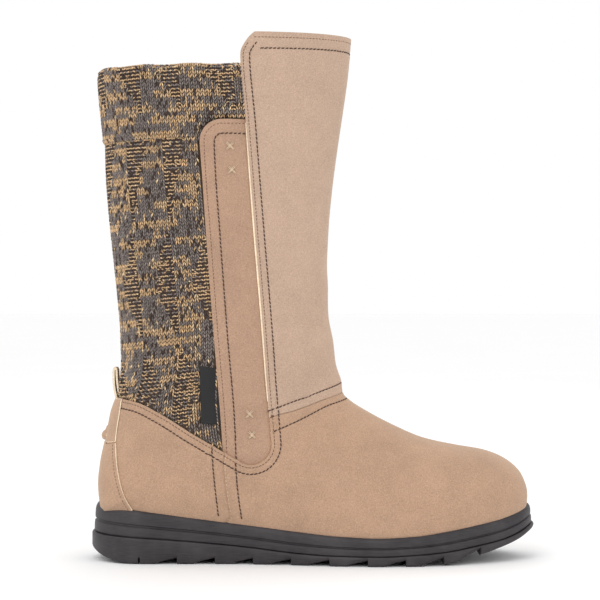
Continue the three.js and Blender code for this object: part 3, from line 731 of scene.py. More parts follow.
# %% Distances and insides on the pattern
def to_line(points, line):
    """The distance from each flat place to a line."""
    best = np.full(len(points), 1e9)
    for a, b in zip(line[:-1], line[1:]):
        run = b - a
        t = np.clip((points - a) @ run / max(run @ run, 1e-12), 0, 1)
        best = np.minimum(best, np.linalg.norm(points - a - t[:, None] * run, axis=1))
    return best


def inside(points, ring):
    """Which points are inside a closed outline: those with an odd number of edges to one side."""
    hit = np.zeros(len(points), bool)
    for a, b in zip(ring, np.roll(ring, -1, 0)):
        crosses = (a[1] > points[:, 1]) != (b[1] > points[:, 1])
        slope = (b[0] - a[0]) / (b[1] - a[1] if b[1] != a[1] else 1e-12)
        hit ^= crosses & (points[:, 0] < a[0] + slope * (points[:, 1] - a[1]))
    return hit


print("inside a square:", inside(np.array([(1, 1), (3, 1)]), np.array([(0, 0), (2, 0), (2, 2), (0, 2)])))

# %% Cut a flat piece
GUIDE_CELL = 0.45  # guide places nearer than this, in mm, become one


def guide_places(walked, rows, edge_step, margins):
    """Places beside the edges and under the stitches, where the leather bends most."""
    guides = []
    for margin in margins:
        for edge in walked:
            if len(edge) > 2:
                guides += [drawn_in(edge, margin), drawn_in(edge, -margin)]
    guides += [walk(row, edge_step) for row in rows]
    return np.concatenate(guides) if guides else np.zeros((0, 2))


def cut_flat(edges, spacing, rows=(), edge_step=1.1, margins=(0.4, 0.95, 1.8)):
    """Fills an outline, given as its edges in order, and returns flat places and triangles."""
    walked = [walk(edge, edge_step) for edge in edges]
    ring = np.concatenate([edge[:-1] for edge in walked])
    ring = ring[np.linalg.norm(ring - np.roll(ring, 1, 0), axis=1) > 1e-3]
    closed = np.append(ring, ring[:1], 0)
    guides = guide_places(walked, rows, edge_step, margins)
    low, high = ring.min(0), ring.max(0)
    steps = [np.arange(low[i], high[i], spacing) for i in (0, 1)]
    grid = np.stack(np.meshgrid(*steps, indexing="ij"), -1).reshape(-1, 2)
    places = []
    for cloud, gap in ((guides, margins[0] * 0.75 if margins else 0), (grid, spacing * 0.55)):
        cloud = cloud[inside(cloud, ring)]
        places.append(cloud[to_line(cloud, closed) > gap])
    inner, grid = places
    if len(inner):
        spots = np.round(inner / GUIDE_CELL).astype(int)
        inner = inner[np.unique(spots, axis=0, return_index=True)[1]]
        taken = set(map(tuple, np.round(inner / (spacing * 0.6)).astype(int)))
        cells = np.round(grid / (spacing * 0.6)).astype(int)
        grid = grid[[tuple(cell) not in taken for cell in cells]]
    corners = [Vector(place) for place in np.concatenate([ring, inner, grid]).tolist()]
    made = geometry.delaunay_2d_cdt(corners, [], [list(range(len(ring)))], 1, 1e-5)
    return np.array([tuple(place) for place in made[0]]), [tuple(face)[::-1] for face in made[2]]


small = cut_flat([np.array([(200.0, 0), (210.0, 0)]), np.array([(210.0, 0), (205.0, 8), (200.0, 0)])], 2.6)
print("a small gusset is cut into", len(small[1]), "triangles")

# %% From a cut piece to leather with a thickness
MERGE = 0.000005


def mesh_object(name, points, faces, materials):
    """A mesh from places in design millimetres."""
    mesh = bpy.data.meshes.new(name)
    mesh.from_pydata([tuple(p) for p in framed(points)], [], faces)
    mesh.validate()
    made = link(bpy.data.objects.new(name, mesh))
    for material in materials:
        mesh.materials.append(material)
    return made


def choose(made):
    """Selects one piece and nothing else."""
    bpy.ops.object.select_all(action="DESELECT")
    made.select_set(True)
    bpy.context.view_layer.objects.active = made


def edit(made, *steps):
    """Runs edit-mode steps on all of a piece."""
    choose(made)
    bpy.ops.object.mode_set(mode="EDIT")
    bpy.ops.mesh.select_all(action="SELECT")
    for step in steps:
        step()
    bpy.ops.object.mode_set(mode="OBJECT")


def merge():
    bpy.ops.mesh.remove_doubles(threshold=MERGE)


def face_out():
    bpy.ops.mesh.normals_make_consistent(inside=False)


def thicken(made, thick, round_=0.0, edge=None, sharp=50, offset=-1):
    """Gives a skin its thickness, inward at offset -1, and rounds its cut edges.

    edge is the slot of the material that the cut edge shows."""
    choose(made)
    wall = made.modifiers.new("wall", "SOLIDIFY")
    wall.thickness, wall.offset = thick * MM, offset
    if edge is not None:
        wall.material_offset_rim = edge
    bpy.ops.object.modifier_apply(modifier="wall")
    if round_:
        soft = made.modifiers.new("soft edge", "BEVEL")
        soft.width, soft.segments = round_ * MM, 2
        soft.limit_method, soft.angle_limit = "ANGLE", np.radians(sharp)
        if edge is not None:
            soft.material = edge
        bpy.ops.object.modifier_apply(modifier="soft edge")
    edit(made, face_out)
    bpy.ops.object.shade_smooth()


def triangles_of(made):
    return sum(len(face.vertices) - 2 for face in made.data.polygons)


def finish_piece(made, slot, *nodes):
    """Puts a piece on the boot's one body, and hides the solids it stands for."""
    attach(made, "root")
    if nodes:
        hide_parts(*nodes)
    print(made.name, triangles_of(made), "triangles")


def leather(name, points, faces, materials, thick, round_=0.0, edge=None):
    """A cut piece, laid in place, thickened and with its cut edges rounded."""
    made = mesh_object(name, points, faces, materials)
    edit(made, merge)
    thicken(made, thick, round_, edge)
    return made


print("corners nearer than", MERGE / MM, "mm are merged")

# %% [markdown]
# ## Creases and stitch rows
# Suede that is pulled over a last dips along its stitches and rolls in at its seams. The boot has
# soft creases at the ankle and down the shaft, listed here in side view.

# %% Where the suede creases and swells
# side view points, half width and depth in mm, and the side of the boot it is on (0 for both)
CREASES = [
    ([(150, 118), (140, 113), (128, 108)], 5.0, 0.7, 0),
    ([(152, 100), (143, 93), (134, 84), (128, 74)], 6.0, 0.8, 0),
    ([(160, 92), (170, 80), (178, 68)], 7.0, 0.5, 0),
    ([(147, 150), (138, 143), (124, 140)], 7.0, 0.6, -1),
    ([(146, 178), (134, 186), (122, 190)], 8.0, 0.5, -1),
    ([(118, 250), (122, 225), (126, 205)], 7.0, 0.5, -1),
    ([(112, 290), (120, 275), (124, 262)], 8.0, 0.5, 0),
    ([(40, 62), (56, 50), (70, 46)], 9.0, 0.5, 0),
    ([(118, 64), (140, 58), (160, 60)], 10.0, 0.5, 0),
]
SWELLS = [
    ([(146, 132), (134, 127), (120, 126)], 8.0, 0.7, 0),
    ([(145, 164), (132, 165), (118, 168)], 9.0, 0.5, 0),
    ([(140, 88), (146, 78), (158, 72)], 8.0, 0.5, 0),
    ([(30, 70), (52, 60), (68, 56)], 9.0, 0.5, 0),
]
print(len(CREASES), "creases and", len(SWELLS), "swells")

# %% Relief of the suede
stitch_rows = []


def creases(point):
    """How far the soft creases lift or lower the suede."""
    drop = np.zeros(len(point))
    for sign, group in ((-1, CREASES), (1, SWELLS)):
        for line, width, depth, side in group:
            near = to_line(point[:, [0, 2]], line_through(line, 4))
            here = 1 if side == 0 else smooth(side * point[:, 1], -6, 12)
            drop += sign * here * depth * np.exp(-((near / width) ** 2))
    return drop


def relief(flat):
    """How far the suede stands from the last there."""
    lift = creases(flat_point(flat))
    for row, depth, width in stitch_rows:
        low, high = row.min(0) - 6, row.max(0) + 6
        near = np.all((flat > low) & (flat < high), axis=1)
        if near.any():
            far = to_line(flat[near], row)
            groove = depth * np.exp(-((far / width) ** 2))
            shoulder = 0.4 * depth * np.exp(-(((far - 2.2 * width) / width) ** 2))
            lift[near] -= groove - shoulder
    return lift


def wrapped(flat, proud=0.0):
    """The suede's outer face, or a place so far proud of it."""
    point, normal = flat_point(flat), flat_normal(flat)
    return point + normal * (proud + relief(flat))[:, None]


# %% [markdown]
# ## Where the rows of stitches run
# A machine follows a cut edge at an even distance, so most rows are the edge's own line, moved.
# It is moved in side view, because on the pattern the rows would cross at the notch. Thick dark
# rows hold two layers together. Thin rows, close to the edge, keep it flat.

# %% Rows beside the big opening
EDGE_STITCH = 1.7
TOP_STITCH = 5.5
ROW_STEP = 1.5
BACK_CLEAR = 14  # the rows stop this far from the back seam
dark_rows, thin_rows = [], []


def beside_opening(side, distance):
    """A row on the suede that follows the big opening's cut edge, in side view."""
    edge = opening[side]
    far = run_of(edge)
    t = np.arange(0, far[-1], ROW_STEP)
    line = np.stack([np.interp(t, far, edge[:, i]) for i in (0, 1)], 1)
    along = unit_vectors(np.gradient(line, axis=0))
    moved = line + distance * np.stack([-along[:, 1], along[:, 0]], 1)
    moved = moved[(to_line(moved, line) > 0.95 * distance) & (moved[:, 1] < SHAFT_HEIGHT - TOP_STITCH)]
    row = flat_line(moved, side)
    return row[np.abs(row[:, 1]) < reach(slice_at(row[:, 0]), side) - BACK_CLEAR]


for side in (-1, 1):
    dark_rows.append(beside_opening(side, TOP_STITCH))
    thin_rows.append(beside_opening(side, EDGE_STITCH))
print("beside the opening:", len(dark_rows[0]), "and", len(dark_rows[1]), "places")

# %% Rows along the collar and over the instep
COLLAR_STEPS = 80
COLLAR_EDGE_X = 97.6  # where the front panel's edges meet the collar
inner_top = place_on(COLLAR, 0)[0]
ten_down = flat_point(np.array([inner_top - 10.0, 0.0]))[2]
DROP_SCALE = 10 / (SHAFT_HEIGHT - ten_down)


def collar_row(drop, side_drop):
    """A row along the collar, drop below it, that ends side_drop from the front panel's edges."""
    end = [(COLLAR_EDGE_X + side_drop, SHAFT_HEIGHT - drop)]
    outer, inner = flat_line(end, -1)[0, 1], flat_line(end, 1)[0, 1]
    along = np.full(COLLAR_STEPS, inner_top - drop * DROP_SCALE)
    return np.stack([along, np.linspace(outer, inner, COLLAR_STEPS)], 1)


def across_ridge(points, height, inner_start):
    """A row over the ridge, from one side of the boot to the other."""
    outer, inner = flat_line(points, -1), flat_line([inner_start] + points[1:], 1)
    return line_through([*outer, ridge_place(height), *inner[::-1]])


dark_rows.append(collar_row(9, TOP_STITCH))
thin_rows.append(collar_row(3, EDGE_STITCH))
dark_rows.append(across_ridge([(107.2, 90.6), (124, 96.6), (140, 102.2)], 106.7, (106.8, 90.4)))
dark_rows.append(across_ridge([(111.0, 78.6), (125, 84.6), (141, 92.4)], 97.6, (101, 75.6)))
for side, top in ((-1, 60.2), (1, 71.0)):
    dark_rows.append(flat_line(line_through([(74.2, 70.2), (75.6, 52), (78.2, 28.2)]), side))
    dark_rows.append(flat_line(line_through([(88.4, top), (89.7, 44), (92.0, 26.6)]), side))
DARK_GROOVE = (0.45, 1.0)  # how deep and how wide a row draws the suede in
THIN_GROOVE = (0.2, 0.7)
stitch_rows += [(walk(row, 2.5), *DARK_GROOVE) for row in dark_rows]
stitch_rows += [(walk(row, 2.5), *THIN_GROOVE) for row in thin_rows]
print(len(dark_rows), "dark rows and", len(thin_rows), "thin rows")

# %% [markdown]
# ## The upper's pieces
# Four pieces of suede: the front panel up the shin, the vamp over the foot, and a quarter on each
# side of the heel. Each could be modelled as a box shaped by hand, but suede keeps the length and
# width it was cut to, so each is cut flat and laid on the last, and rolls in at its seams.

# %% How a piece of the upper is made
SUEDE_THICK = 1.4
SUEDE_SPACING = 2.6
SEAM_GAP = 0.16
SEAM_ROLL = 0.55
GROOVE_SIDE = 0.9


def foot_edge(first, final, side):
    """The pattern's own edge, from slice to slice: along the sole or up the back seam."""
    s = np.linspace(first, final, 60)
    return np.stack([np.interp(s, slices, along_last), side * reach(s, side)], 1)


def with_sides(row):
    """A row with a line on each side of it, so that its groove has corners to follow."""
    return [row, drawn_in(row, GROOVE_SIDE), drawn_in(row, -GROOVE_SIDE)]


def upper_piece(name, edges, seams, material, edge_finish):
    """seams: lines where the piece meets its neighbour and rolls in."""
    flat, faces = cut_flat(edges, SUEDE_SPACING, rows=[row for row in all_rows if len(row) > 3])
    points = wrapped(flat)
    normal = flat_normal(flat)
    for line in seams:
        far = to_line(flat, walk(line, 1.5))
        points -= normal * (SEAM_ROLL * np.clip(1 - far / 1.2, 0, 1) ** 2)[:, None]
    made = leather(name, points, faces, [material, edge_finish], SUEDE_THICK, 0.4, edge=1)
    finish_piece(made, "suede", "upper")


all_rows = [line for row in dark_rows for line in with_sides(row)]
top_ends = np.linspace(shaft_edge[1][0, 1], shaft_edge[-1][0, 1], 60)
top_row = np.stack([np.full(60, inner_top), top_ends], 1)
print(len(all_rows), "lines for the cut to follow")

# %% Front panel, vamp and quarters
panel_foot = drawn_in(low_seam, SEAM_GAP)
panel_edges = [panel_foot, shaft_edge[1][::-1], top_row, shaft_edge[-1]]
upper_piece("front_panel", panel_edges, [low_seam], shaft_suede, raw_edge)
s_side = {side: slice_at(side_seam[side][-1, 0]) for side in (-1, 1)}
vamp_edges = [
    side_seam[-1][::-1], notch_edge[-1][::-1], low_seam, notch_edge[1], side_seam[1],
    foot_edge(s_side[1], 0, 1), foot_edge(0, s_side[-1], -1),
]
upper_piece("vamp", vamp_edges, [low_seam, side_seam[-1], side_seam[1]], suede, cut_edge)
for side, name in ((-1, "quarter_outside"), (1, "quarter_inside")):
    quarter_edges = [side_seam[side][::-1], quarter_edge[side], foot_edge(s_back, s_side[side], side)]
    upper_piece(name, quarter_edges, [side_seam[side]], suede, cut_edge)

# %% [markdown]
# ## Stitches
# One stitch is a short plump thread, modelled once and copied along every row. The dark top
# stitching is thick, and the stitching along the cut edges is thin.

# %% One shape, copied many times
def unit_shape(add):
    """Reads a small shape's corners and faces, and removes it."""
    add()
    made = bpy.context.object
    points = np.array([v.co[:] for v in made.data.vertices])
    faces = [tuple(face.vertices) for face in made.data.polygons]
    bpy.data.objects.remove(made)
    return points, faces


def sphere(segments, rings):
    """A ball one millimetre across, with its poles at the two ends of its length."""
    return lambda: bpy.ops.mesh.primitive_uv_sphere_add(
        segments=segments, ring_count=rings, radius=0.5, rotation=(0, np.pi / 2, 0))


def copies(name, unit, origin, along, across, out, material, tint=None):
    """One mesh of a shape copied to many places: its x, y and z go along, across and out."""
    points, faces = unit
    count, size = len(origin), len(points)
    placed = origin[:, None] + points[None, :, :1] * along[:, None]
    placed = placed + points[None, :, 1:2] * across[:, None] + points[None, :, 2:] * out[:, None]
    placed = placed.reshape(-1, 3)
    lengths = np.array([len(face) for face in faces])
    corners = np.concatenate([np.array(face) for face in faces])
    loops = (corners[None] + size * np.arange(count)[:, None]).ravel()
    starts = np.append(0, np.cumsum(np.tile(lengths, count))[:-1])
    mesh = bpy.data.meshes.new(name)
    mesh.vertices.add(len(placed))
    mesh.vertices.foreach_set("co", framed(placed).ravel())
    mesh.loops.add(len(loops))
    mesh.loops.foreach_set("vertex_index", loops)
    mesh.polygons.add(len(starts))
    mesh.polygons.foreach_set("loop_start", starts)
    mesh.update(calc_edges=True)
    mesh.validate()
    if tint is not None:
        layer = mesh.color_attributes.new(name="yarn", type="FLOAT_COLOR", domain="POINT")
        layer.data.foreach_set("color", np.repeat(tint, size, axis=0).ravel())
    made = link(bpy.data.objects.new(name, mesh))
    mesh.materials.append(material)
    choose(made)
    bpy.ops.object.shade_smooth()
    return made


def turned(along, across, angle):
    """Two directions, turned in their own plane by an angle in radians."""
    c, s = np.cos(angle)[:, None], np.sin(angle)[:, None]
    return along * c + across * s, across * c - along * s


thread_unit = unit_shape(sphere(6, 4))
print("one thread:", len(thread_unit[1]), "faces")

# %% Sew a row of stitches
# pitch, length and width in mm, and the lean in radians
DARK_STITCH = (2.5, 2.5, 0.85, 0.16)
THIN_STITCH = (2.1, 1.8, 0.46, 0.0)
SEAM_STITCH = (2.3, 1.5, 0.3, 0.0)
STAY_STITCH = (2.1, 1.6, 0.34, 0.0)
chance = np.random.default_rng(7)


def stitch_places(row, pitch, lift, shape):
    """The middle of each stitch of a row, and its directions along, across and out."""
    line = walk(row, pitch)
    centre = (line[1:] + line[:-1]) / 2
    out = flat_normal(centre)
    spot = shape(centre, lift)
    along = unit_vectors(flat_point(line[1:]) - flat_point(line[:-1]))
    return spot, along, np.cross(out, along), out


def sew(name, rows, stitch, material, shape=wrapped, lift=0.12):
    """Rows of stitches, as one piece. No two are quite the same length or lean."""
    pitch, length, width, lean = stitch
    spot, along, across, out = (np.concatenate(part) for part in zip(
        *[stitch_places(row, pitch, lift, shape) for row in rows]))
    along, across = turned(along, across, lean + chance.normal(0, 0.07, len(spot)))
    size = 1 + chance.normal(0, 0.07, (len(spot), 1))
    along, across, out = along * length * size, across * width, out * width * 0.8
    finish_piece(copies(name, thread_unit, spot, along, across, out, material), "suede")


print("a dark stitch is", DARK_STITCH[1], "mm long, a thin one", THIN_STITCH[1])

# %% [markdown]
# ## Thread
# Sewing thread is two or three strands with a hard twist and a soft shine. Fine noise paints shade
# into the dips of the twist. That is all that shows at this size.

# %% Threads, and the upper's rows
def thread_material(name, colour):
    """Twisted thread, with painted shade in the dips of its twist."""
    material, tree, shader = new_material(name, 0.7)
    twist = noise(tree, 2600, 2, object_place(tree))
    # painted shade: the thread's colour, darkened in the dips of the twist
    dark = tuple(0.55 * part for part in colour[:3]) + (1,)
    thread_with_painted_shade = mix_colours(tree, spread(tree, twist, 0.3, 0.7), dark, colour)
    tree.links.new(thread_with_painted_shade, shader.inputs["Base Color"])
    tree.links.new(bump(tree, twist, 0.0001), shader.inputs["Normal"])
    return material


dark_thread = thread_material("dark brown thread", srgb(74, 48, 38))
thin_thread = thread_material("fine brown thread", srgb(122, 88, 67))
cream_thread = thread_material("cream thread", srgb(246, 222, 190))
sew("top_stitching", dark_rows, DARK_STITCH, dark_thread, lift=0.2)
sew("edge_stitching", thin_rows, THIN_STITCH, thin_thread)
seam_rows = [drawn_in(side_seam[side], GROOVE_SIDE)[2:-1] for side in (-1, 1)]
sew("side_seam_stitching", seam_rows, SEAM_STITCH, cream_thread)

# %% [markdown]
# ## Side strap
# A suede strap stands up the outer side, over the knit. Its foot and front edge go under the
# vamp and the front panel, and its top leans out where the cuff lies under it. It is drawn in
# side view, cut and wrapped like the upper, and its height over the last comes from how far each
# place is inside the opening.

# %% The strap's outline
STRAP_TOP, STRAP_CORNER, STRAP_THICK = 264, 13, 1.2
STRAP_FRONT_TOP, CORNER_X, CORNER_Z = 97.9, 80.6, 251
STRAP_BACK = [(67.6, 250), (70.3, 206), (75.2, 139), (79.6, 86), (81.4, 58)]
CUFF_BOTTOM, KNIT_TOP = 252, 297
CUFF_STAND = 3.0  # how far the cuff lifts the strap's top
corner_turn = np.linspace(np.pi / 2, np.pi, 14)
strap_corner = arc(CORNER_X, CORNER_Z, STRAP_CORNER, corner_turn)
strap_left = np.concatenate([strap_corner, line_through(STRAP_BACK)[1:]])
strap_foot = arc(*NOTCH[-1][:2], NOTCH[-1][2] + 3.0, np.linspace(NOTCH_END, 0, 24))
strap_right = line_through([(112.5, 74), (111.5, 92), (107.8, 140), (103.2, 196), (97.9, 263.9)])
strap_edges = [flat_line(line, -1) for line in (
    np.linspace((STRAP_FRONT_TOP, STRAP_TOP), (CORNER_X, STRAP_TOP), 20), strap_left,
    np.linspace(strap_left[-1], strap_foot[0], 8), strap_foot,
    np.linspace(strap_foot[-1], strap_right[0], 5), strap_right,
)]
strap_ring = np.concatenate([[(99, STRAP_TOP)], strap_left, strap_foot, strap_right])
print("the strap is", STRAP_TOP - round(strap_foot[:, 1].min()), "mm long")

# %% How high the strap stands
def from_opening(flat):
    """How far a place is inside the opening for the knit; less than nothing on the suede."""
    point = flat_point(flat)
    far = np.zeros(len(flat))
    for side in (-1, 1):
        here = (flat[:, 1] < 0) == (side < 0)
        ring = np.concatenate([opening[side], [(-30, 98.5), (-30, 340), (103, 340)]])
        within = inside(point[here][:, [0, 2]], ring)
        far[here] = to_line(flat[here], walk(edge_flat[side], 3)) * np.where(within, 1, -1)
    return far


def on_strap(flat, lift=0.0):
    """The strap's outer face: under the suede at its edges, and out over the cuff at its top."""
    far = from_opening(flat)
    point = flat_point(flat)
    over_cuff = CUFF_STAND * smooth(point[:, 2], 224, CUFF_BOTTOM) * smooth(far, 1, 10)
    proud = -1.5 + 1.4 * smooth(far, -0.6, 4.5) + over_cuff
    return point + flat_normal(flat) * (proud + lift)[:, None]


# %% Cut and sew the strap
def strap_row(start, corner, aside, foot):
    """A row of stitches round the strap's top corner and down its back edge."""
    down = line_through([(x + aside, z) for x, z in STRAP_BACK[1:4]] + [foot])
    return flat_line(np.concatenate([[start], corner, down]), -1)


strap_dark = strap_row(
    (97, STRAP_TOP - 8.5), arc(CORNER_X + 0.2, CORNER_Z, 4.7, corner_turn, 4.6), 8.2, (88.9, 60))
strap_thin = strap_row(
    (96, STRAP_TOP - 2.6), arc(CORNER_X, CORNER_Z, 10.4, corner_turn), 2.6, (83.4, 64))
flat, faces = cut_flat(strap_edges, 2.4, rows=with_sides(strap_dark))
dark_dip, thin_dip = (to_line(flat, walk(row, 2)) for row in (strap_dark, strap_thin))
dips = 0.4 * np.exp(-((dark_dip / 1.0) ** 2)) + 0.2 * np.exp(-((thin_dip / 0.7) ** 2))
points = on_strap(flat) - flat_normal(flat) * dips[:, None]
side_strap = leather("side_strap_suede", points, faces, [strap_suede, raw_edge], STRAP_THICK, 0.35, edge=1)
finish_piece(side_strap, "suede", "side_strap")
sew("strap_top_stitching", [strap_dark], DARK_STITCH, dark_thread, on_strap, -0.18)
sew("strap_edge_stitching", [strap_thin], THIN_STITCH, thin_thread, on_strap, -0.05)

# %% [markdown]
# ## Raw edge beside the front panel
# The front panel is lined, and its lining's cut edge shows as a thin pale line beside the suede.
# It is a narrow strip that starts under the panel and comes out by up to a millimetre, most in
# the middle of its run. A strip is enough, since the rest of that lining never shows.

# %% Raw edge
RAW_FOOT, RAW_TOP, RAW_UNDER, RAW_SHOWN = 96, 262, 1.4, 0.9
for side, name in ((-1, "raw_edge_outside"), (1, "raw_edge_inside")):
    line = walk(shaft_edge[side], 2.0)
    height = flat_point(line)[:, 2]
    line = line[(height < RAW_TOP) & (height > RAW_FOOT)]
    show = RAW_SHOWN * np.sin(np.pi * np.linspace(0.06, 0.94, len(line))) ** 0.4
    under = drawn_in(line, -side * RAW_UNDER)
    shown = line + (drawn_in(line, side * 1.0) - line) * show[:, None]
    ends = np.stack([under[-1], shown[-1]]), np.stack([shown[0], under[0]])
    flat, faces = cut_flat([under, ends[0], shown[::-1], ends[1]], 1.2, margins=(0.3,))
    finish_piece(leather(name, wrapped(flat, -0.45), faces, [raw_edge], 0.7, 0.25), "lining")

# %% [markdown]
# ## Crossed tacks on the strap
# Two small crosses at each end of the strap take its pull. Each arm is two threads side by side,
# and the second arm lies over the first. They are the same thread shape as the stitches, longer.

# %% Crossed tacks
TACKS = [(85.3, 248.2), (86.3, 234.2), (96.7, 89.2), (98.1, 76.7)]
TACK_LEAN, TACK_APART, TACK_LENGTH = 0.75, 0.32, 7.4
TACK_WIDE, TACK_TALL = 0.52, 0.9
centre = flat_line(TACKS, -1)
out = flat_normal(centre)
up = unit_vectors(np.array([(0, 0, 1.0)] * len(out)) - out * out[:, 2:])
side_on = np.cross(up, out)
tack_parts = []
for lean, lift in ((TACK_LEAN, 0.35), (-TACK_LEAN, 0.7)):
    for shift in (-TACK_APART, TACK_APART):
        run, width = turned(up, side_on, np.full(len(out), lean + chance.normal(0, 0.08)))
        spot = on_strap(centre, lift) + width * shift
        run = run * (TACK_LENGTH + chance.normal(0, 0.3))
        tack_parts.append((spot, run, width * TACK_WIDE, out * TACK_TALL))
tack_parts = [np.concatenate(part) for part in zip(*tack_parts)]
finish_piece(copies("strap_tacks", thread_unit, *tack_parts, cream_thread), "suede")

# %% [markdown]
# ## Heel stay and the strip above it
# The quarters meet at the back in a seam, and a strip of suede covers it, so that it can't rip.
# The left and right halves are cut from the same edge, laid on the last, and joined at the seam,
# which gives one piece that is the same on both sides.

# %% Heel stay and back strip
STAY_EDGE = [(16.8, 71), (17.4, 63), (19.2, 51), (22.5, 40), (27.5, 31)]
STRIP_EDGE = [(19.8, 97.5), (18.6, 88), (17.2, 79), (16.6, 72)]


def back_piece(name, low_z, high_z, edge, foot, proud, thick):
    """A piece over the back seam, the same on both sides: the halves are cut and joined."""
    points, faces = [], []
    for side in (-1, 1):
        s = back_slice([low_z, high_z])
        seam = foot_edge(max(s[0], HEEL + 0.01), s[1], side)
        side_edge = flat_line(line_through(edge), side)
        low = [flat_line(foot, side)] if foot else []
        ends = [np.stack([seam[-1], side_edge[0]]), side_edge]
        ends += [np.concatenate([side_edge[-1:], *low, seam[:1]])]
        flat, found = cut_flat([seam] + ends, 2.0, margins=(0.45, 1.0))
        faces += [tuple(i + len(points) for i in face) for face in found]
        points += list(flat_point(flat) + flat_normal(flat) * proud)
    return leather(name, np.array(points), faces, [suede, raw_edge], thick, 0.35, edge=1)


heel_stay = back_piece("heel_stay_suede", 31, 71, STAY_EDGE, [(20, 31.5), (12, 31.5)], 1.35, 1.1)
finish_piece(heel_stay, "suede", "heel_stay")
back_strip = back_piece("back_strip", 72, 98, STRIP_EDGE, None, 0.8, 0.7)
finish_piece(back_strip, "suede")
stay_rows = [drawn_in(flat_line(line_through(STAY_EDGE), side), side * 2.0) for side in (-1, 1)]
sew("heel_stay_stitching", stay_rows, STAY_STITCH, thin_thread, lift=1.42)

# %% [markdown]
# ## Pull tab
# A loop of suede at the back helps to pull the boot on. Its lower end is folded into a small
# roll on the heel stay, and its loop stands free above. Both are one narrow strip, bent along a
# path in side view, so each starts as a grid that is bent, then given its thickness.

# %% A strip along a path
def grid_skin(name, across, up):
    """A flat grid to be bent into a skin, and each corner's column and row."""
    bpy.ops.object.select_all(action="DESELECT")
    bpy.ops.mesh.primitive_grid_add(x_subdivisions=across, y_subdivisions=up, size=2)
    made = bpy.context.object
    made.name = name
    corners = np.array([corner.co[:2] for corner in made.data.vertices])
    return made, corners


def move_corners(made, points, materials):
    """Puts a skin's corners in their places and gives it its materials."""
    made.data.vertices.foreach_set("co", framed(points).ravel())
    made.data.update()
    for material in materials:
        made.data.materials.append(material)


STRIP_FACES = 14


def strip_along(name, path, half, thick, curl):
    """A narrow strip of suede that follows a path in side view. Its sides curl forward round the boot."""
    path = np.array(path, float)
    far = run_of(path)
    places = np.linspace(0, far[-1], max(int(far[-1] / 0.7), 8))
    line = np.stack([through(far, path[:, i])(places) for i in (0, 1)], 1)
    made, corners = grid_skin(name, len(line) - 1, STRIP_FACES)
    i = np.rint((corners[:, 0] + 1) / 2 * (len(line) - 1)).astype(int)
    forward = line[i, 0] + curl * corners[:, 1] ** 2
    move_corners(made, np.stack([forward, corners[:, 1] * half, line[i, 1]], 1), [suede, raw_edge])
    edit(made, face_out)
    thicken(made, thick, 0.25, edge=1, sharp=60, offset=0)
    return made


print("strips are", STRIP_FACES, "faces wide")

# %% The loop and the roll
TAB_HALF, TAB_THICK, TAB_CURL = 6.3, 1.2, 0.6
ROLL_HALF, ROLL_THICK, ROLL_CURL = 7.5, 1.0, 3.4
LOOP = [
    (15.0, 95.6), (14.0, 99.5), (13.1, 105), (12.8, 111), (13.0, 114.4), (13.8, 115.6),
    (14.5, 114.4), (14.6, 111), (15.1, 106), (16.0, 100.5), (17.3, 96.2),
]
ROLL_PATH = [(9.2, 80.5), (8.0, 77.6), (6.6, 76.4), (5.9, 74.6), (6.3, 72.8), (7.6, 72.2), (8.8, 73.2)]
pull_tab = strip_along("pull_tab_loop", LOOP, TAB_HALF, TAB_THICK, TAB_CURL)
finish_piece(pull_tab, "suede", "pull_tab")
tab_roll = strip_along("pull_tab_roll", ROLL_PATH, ROLL_HALF, ROLL_THICK, ROLL_CURL)
finish_piece(tab_roll, "suede")

# %% [markdown]
# ## Side label
# A small black woven label is caught under the strap's edge and lies on the knit. It is blank.
# It could be a flat card, but a woven tape waves a little, so its height runs in a slow wave
# that dies out where the strap holds it. Fine bands are its weave.

# %% Woven finish
woven, tree, shader = new_material("black woven label", 0.6)
thread_lines = node(tree, "ShaderNodeTexWave", Scale=520.0, Distortion=0.4)
thread_lines.bands_direction = "Z"
tree.links.new(object_place(tree), thread_lines.inputs["Vector"])
weave = thread_lines.outputs["Fac"]
tree.links.new(mix_colours(tree, weave, srgb(3, 3, 4), srgb(14, 13, 15)), shader.inputs["Base Color"])
tree.links.new(bump(tree, weave, 0.0001), shader.inputs["Normal"])
print("woven finish:", len(tree.nodes), "nodes")

# %% Blank side label
LABEL_CORNERS = [(67.2, 117.6), (68.0, 84.0), (80.8, 82.6), (78.6, 116.6)]
LABEL_PROUD, LABEL_TUCK, LABEL_WAVE = 1.9, 2.4, 0.25
label_sides = zip(LABEL_CORNERS, LABEL_CORNERS[1:] + LABEL_CORNERS[:1])
label_edges = [flat_line(np.linspace(start, end, 20), -1) for start, end in label_sides]
flat, faces = cut_flat(label_edges, 1.6, margins=(0.5,))
point = flat_point(flat)
tuck = smooth(point[:, 0] + 0.08 * (point[:, 2] - 84), 75, 80.5)
wave = LABEL_WAVE * np.sin(point[:, 2] / 5.5)
proud = LABEL_PROUD - LABEL_TUCK * tuck + wave * (1 - tuck)
points = point + flat_normal(flat) * proud[:, None]
finish_piece(leather("side_label_blank", points, faces, [woven], 0.55, 0.15), "label", "side_label")

# %% [markdown]
# ## Lining
# A fleece sock lines the whole boot. It is one wrapped piece that meets itself at the back seam,
# cut coarser than the suede, because only its top shows. It stands closer to the last on the
# suede than behind the knit, so that it never comes through the stitches.

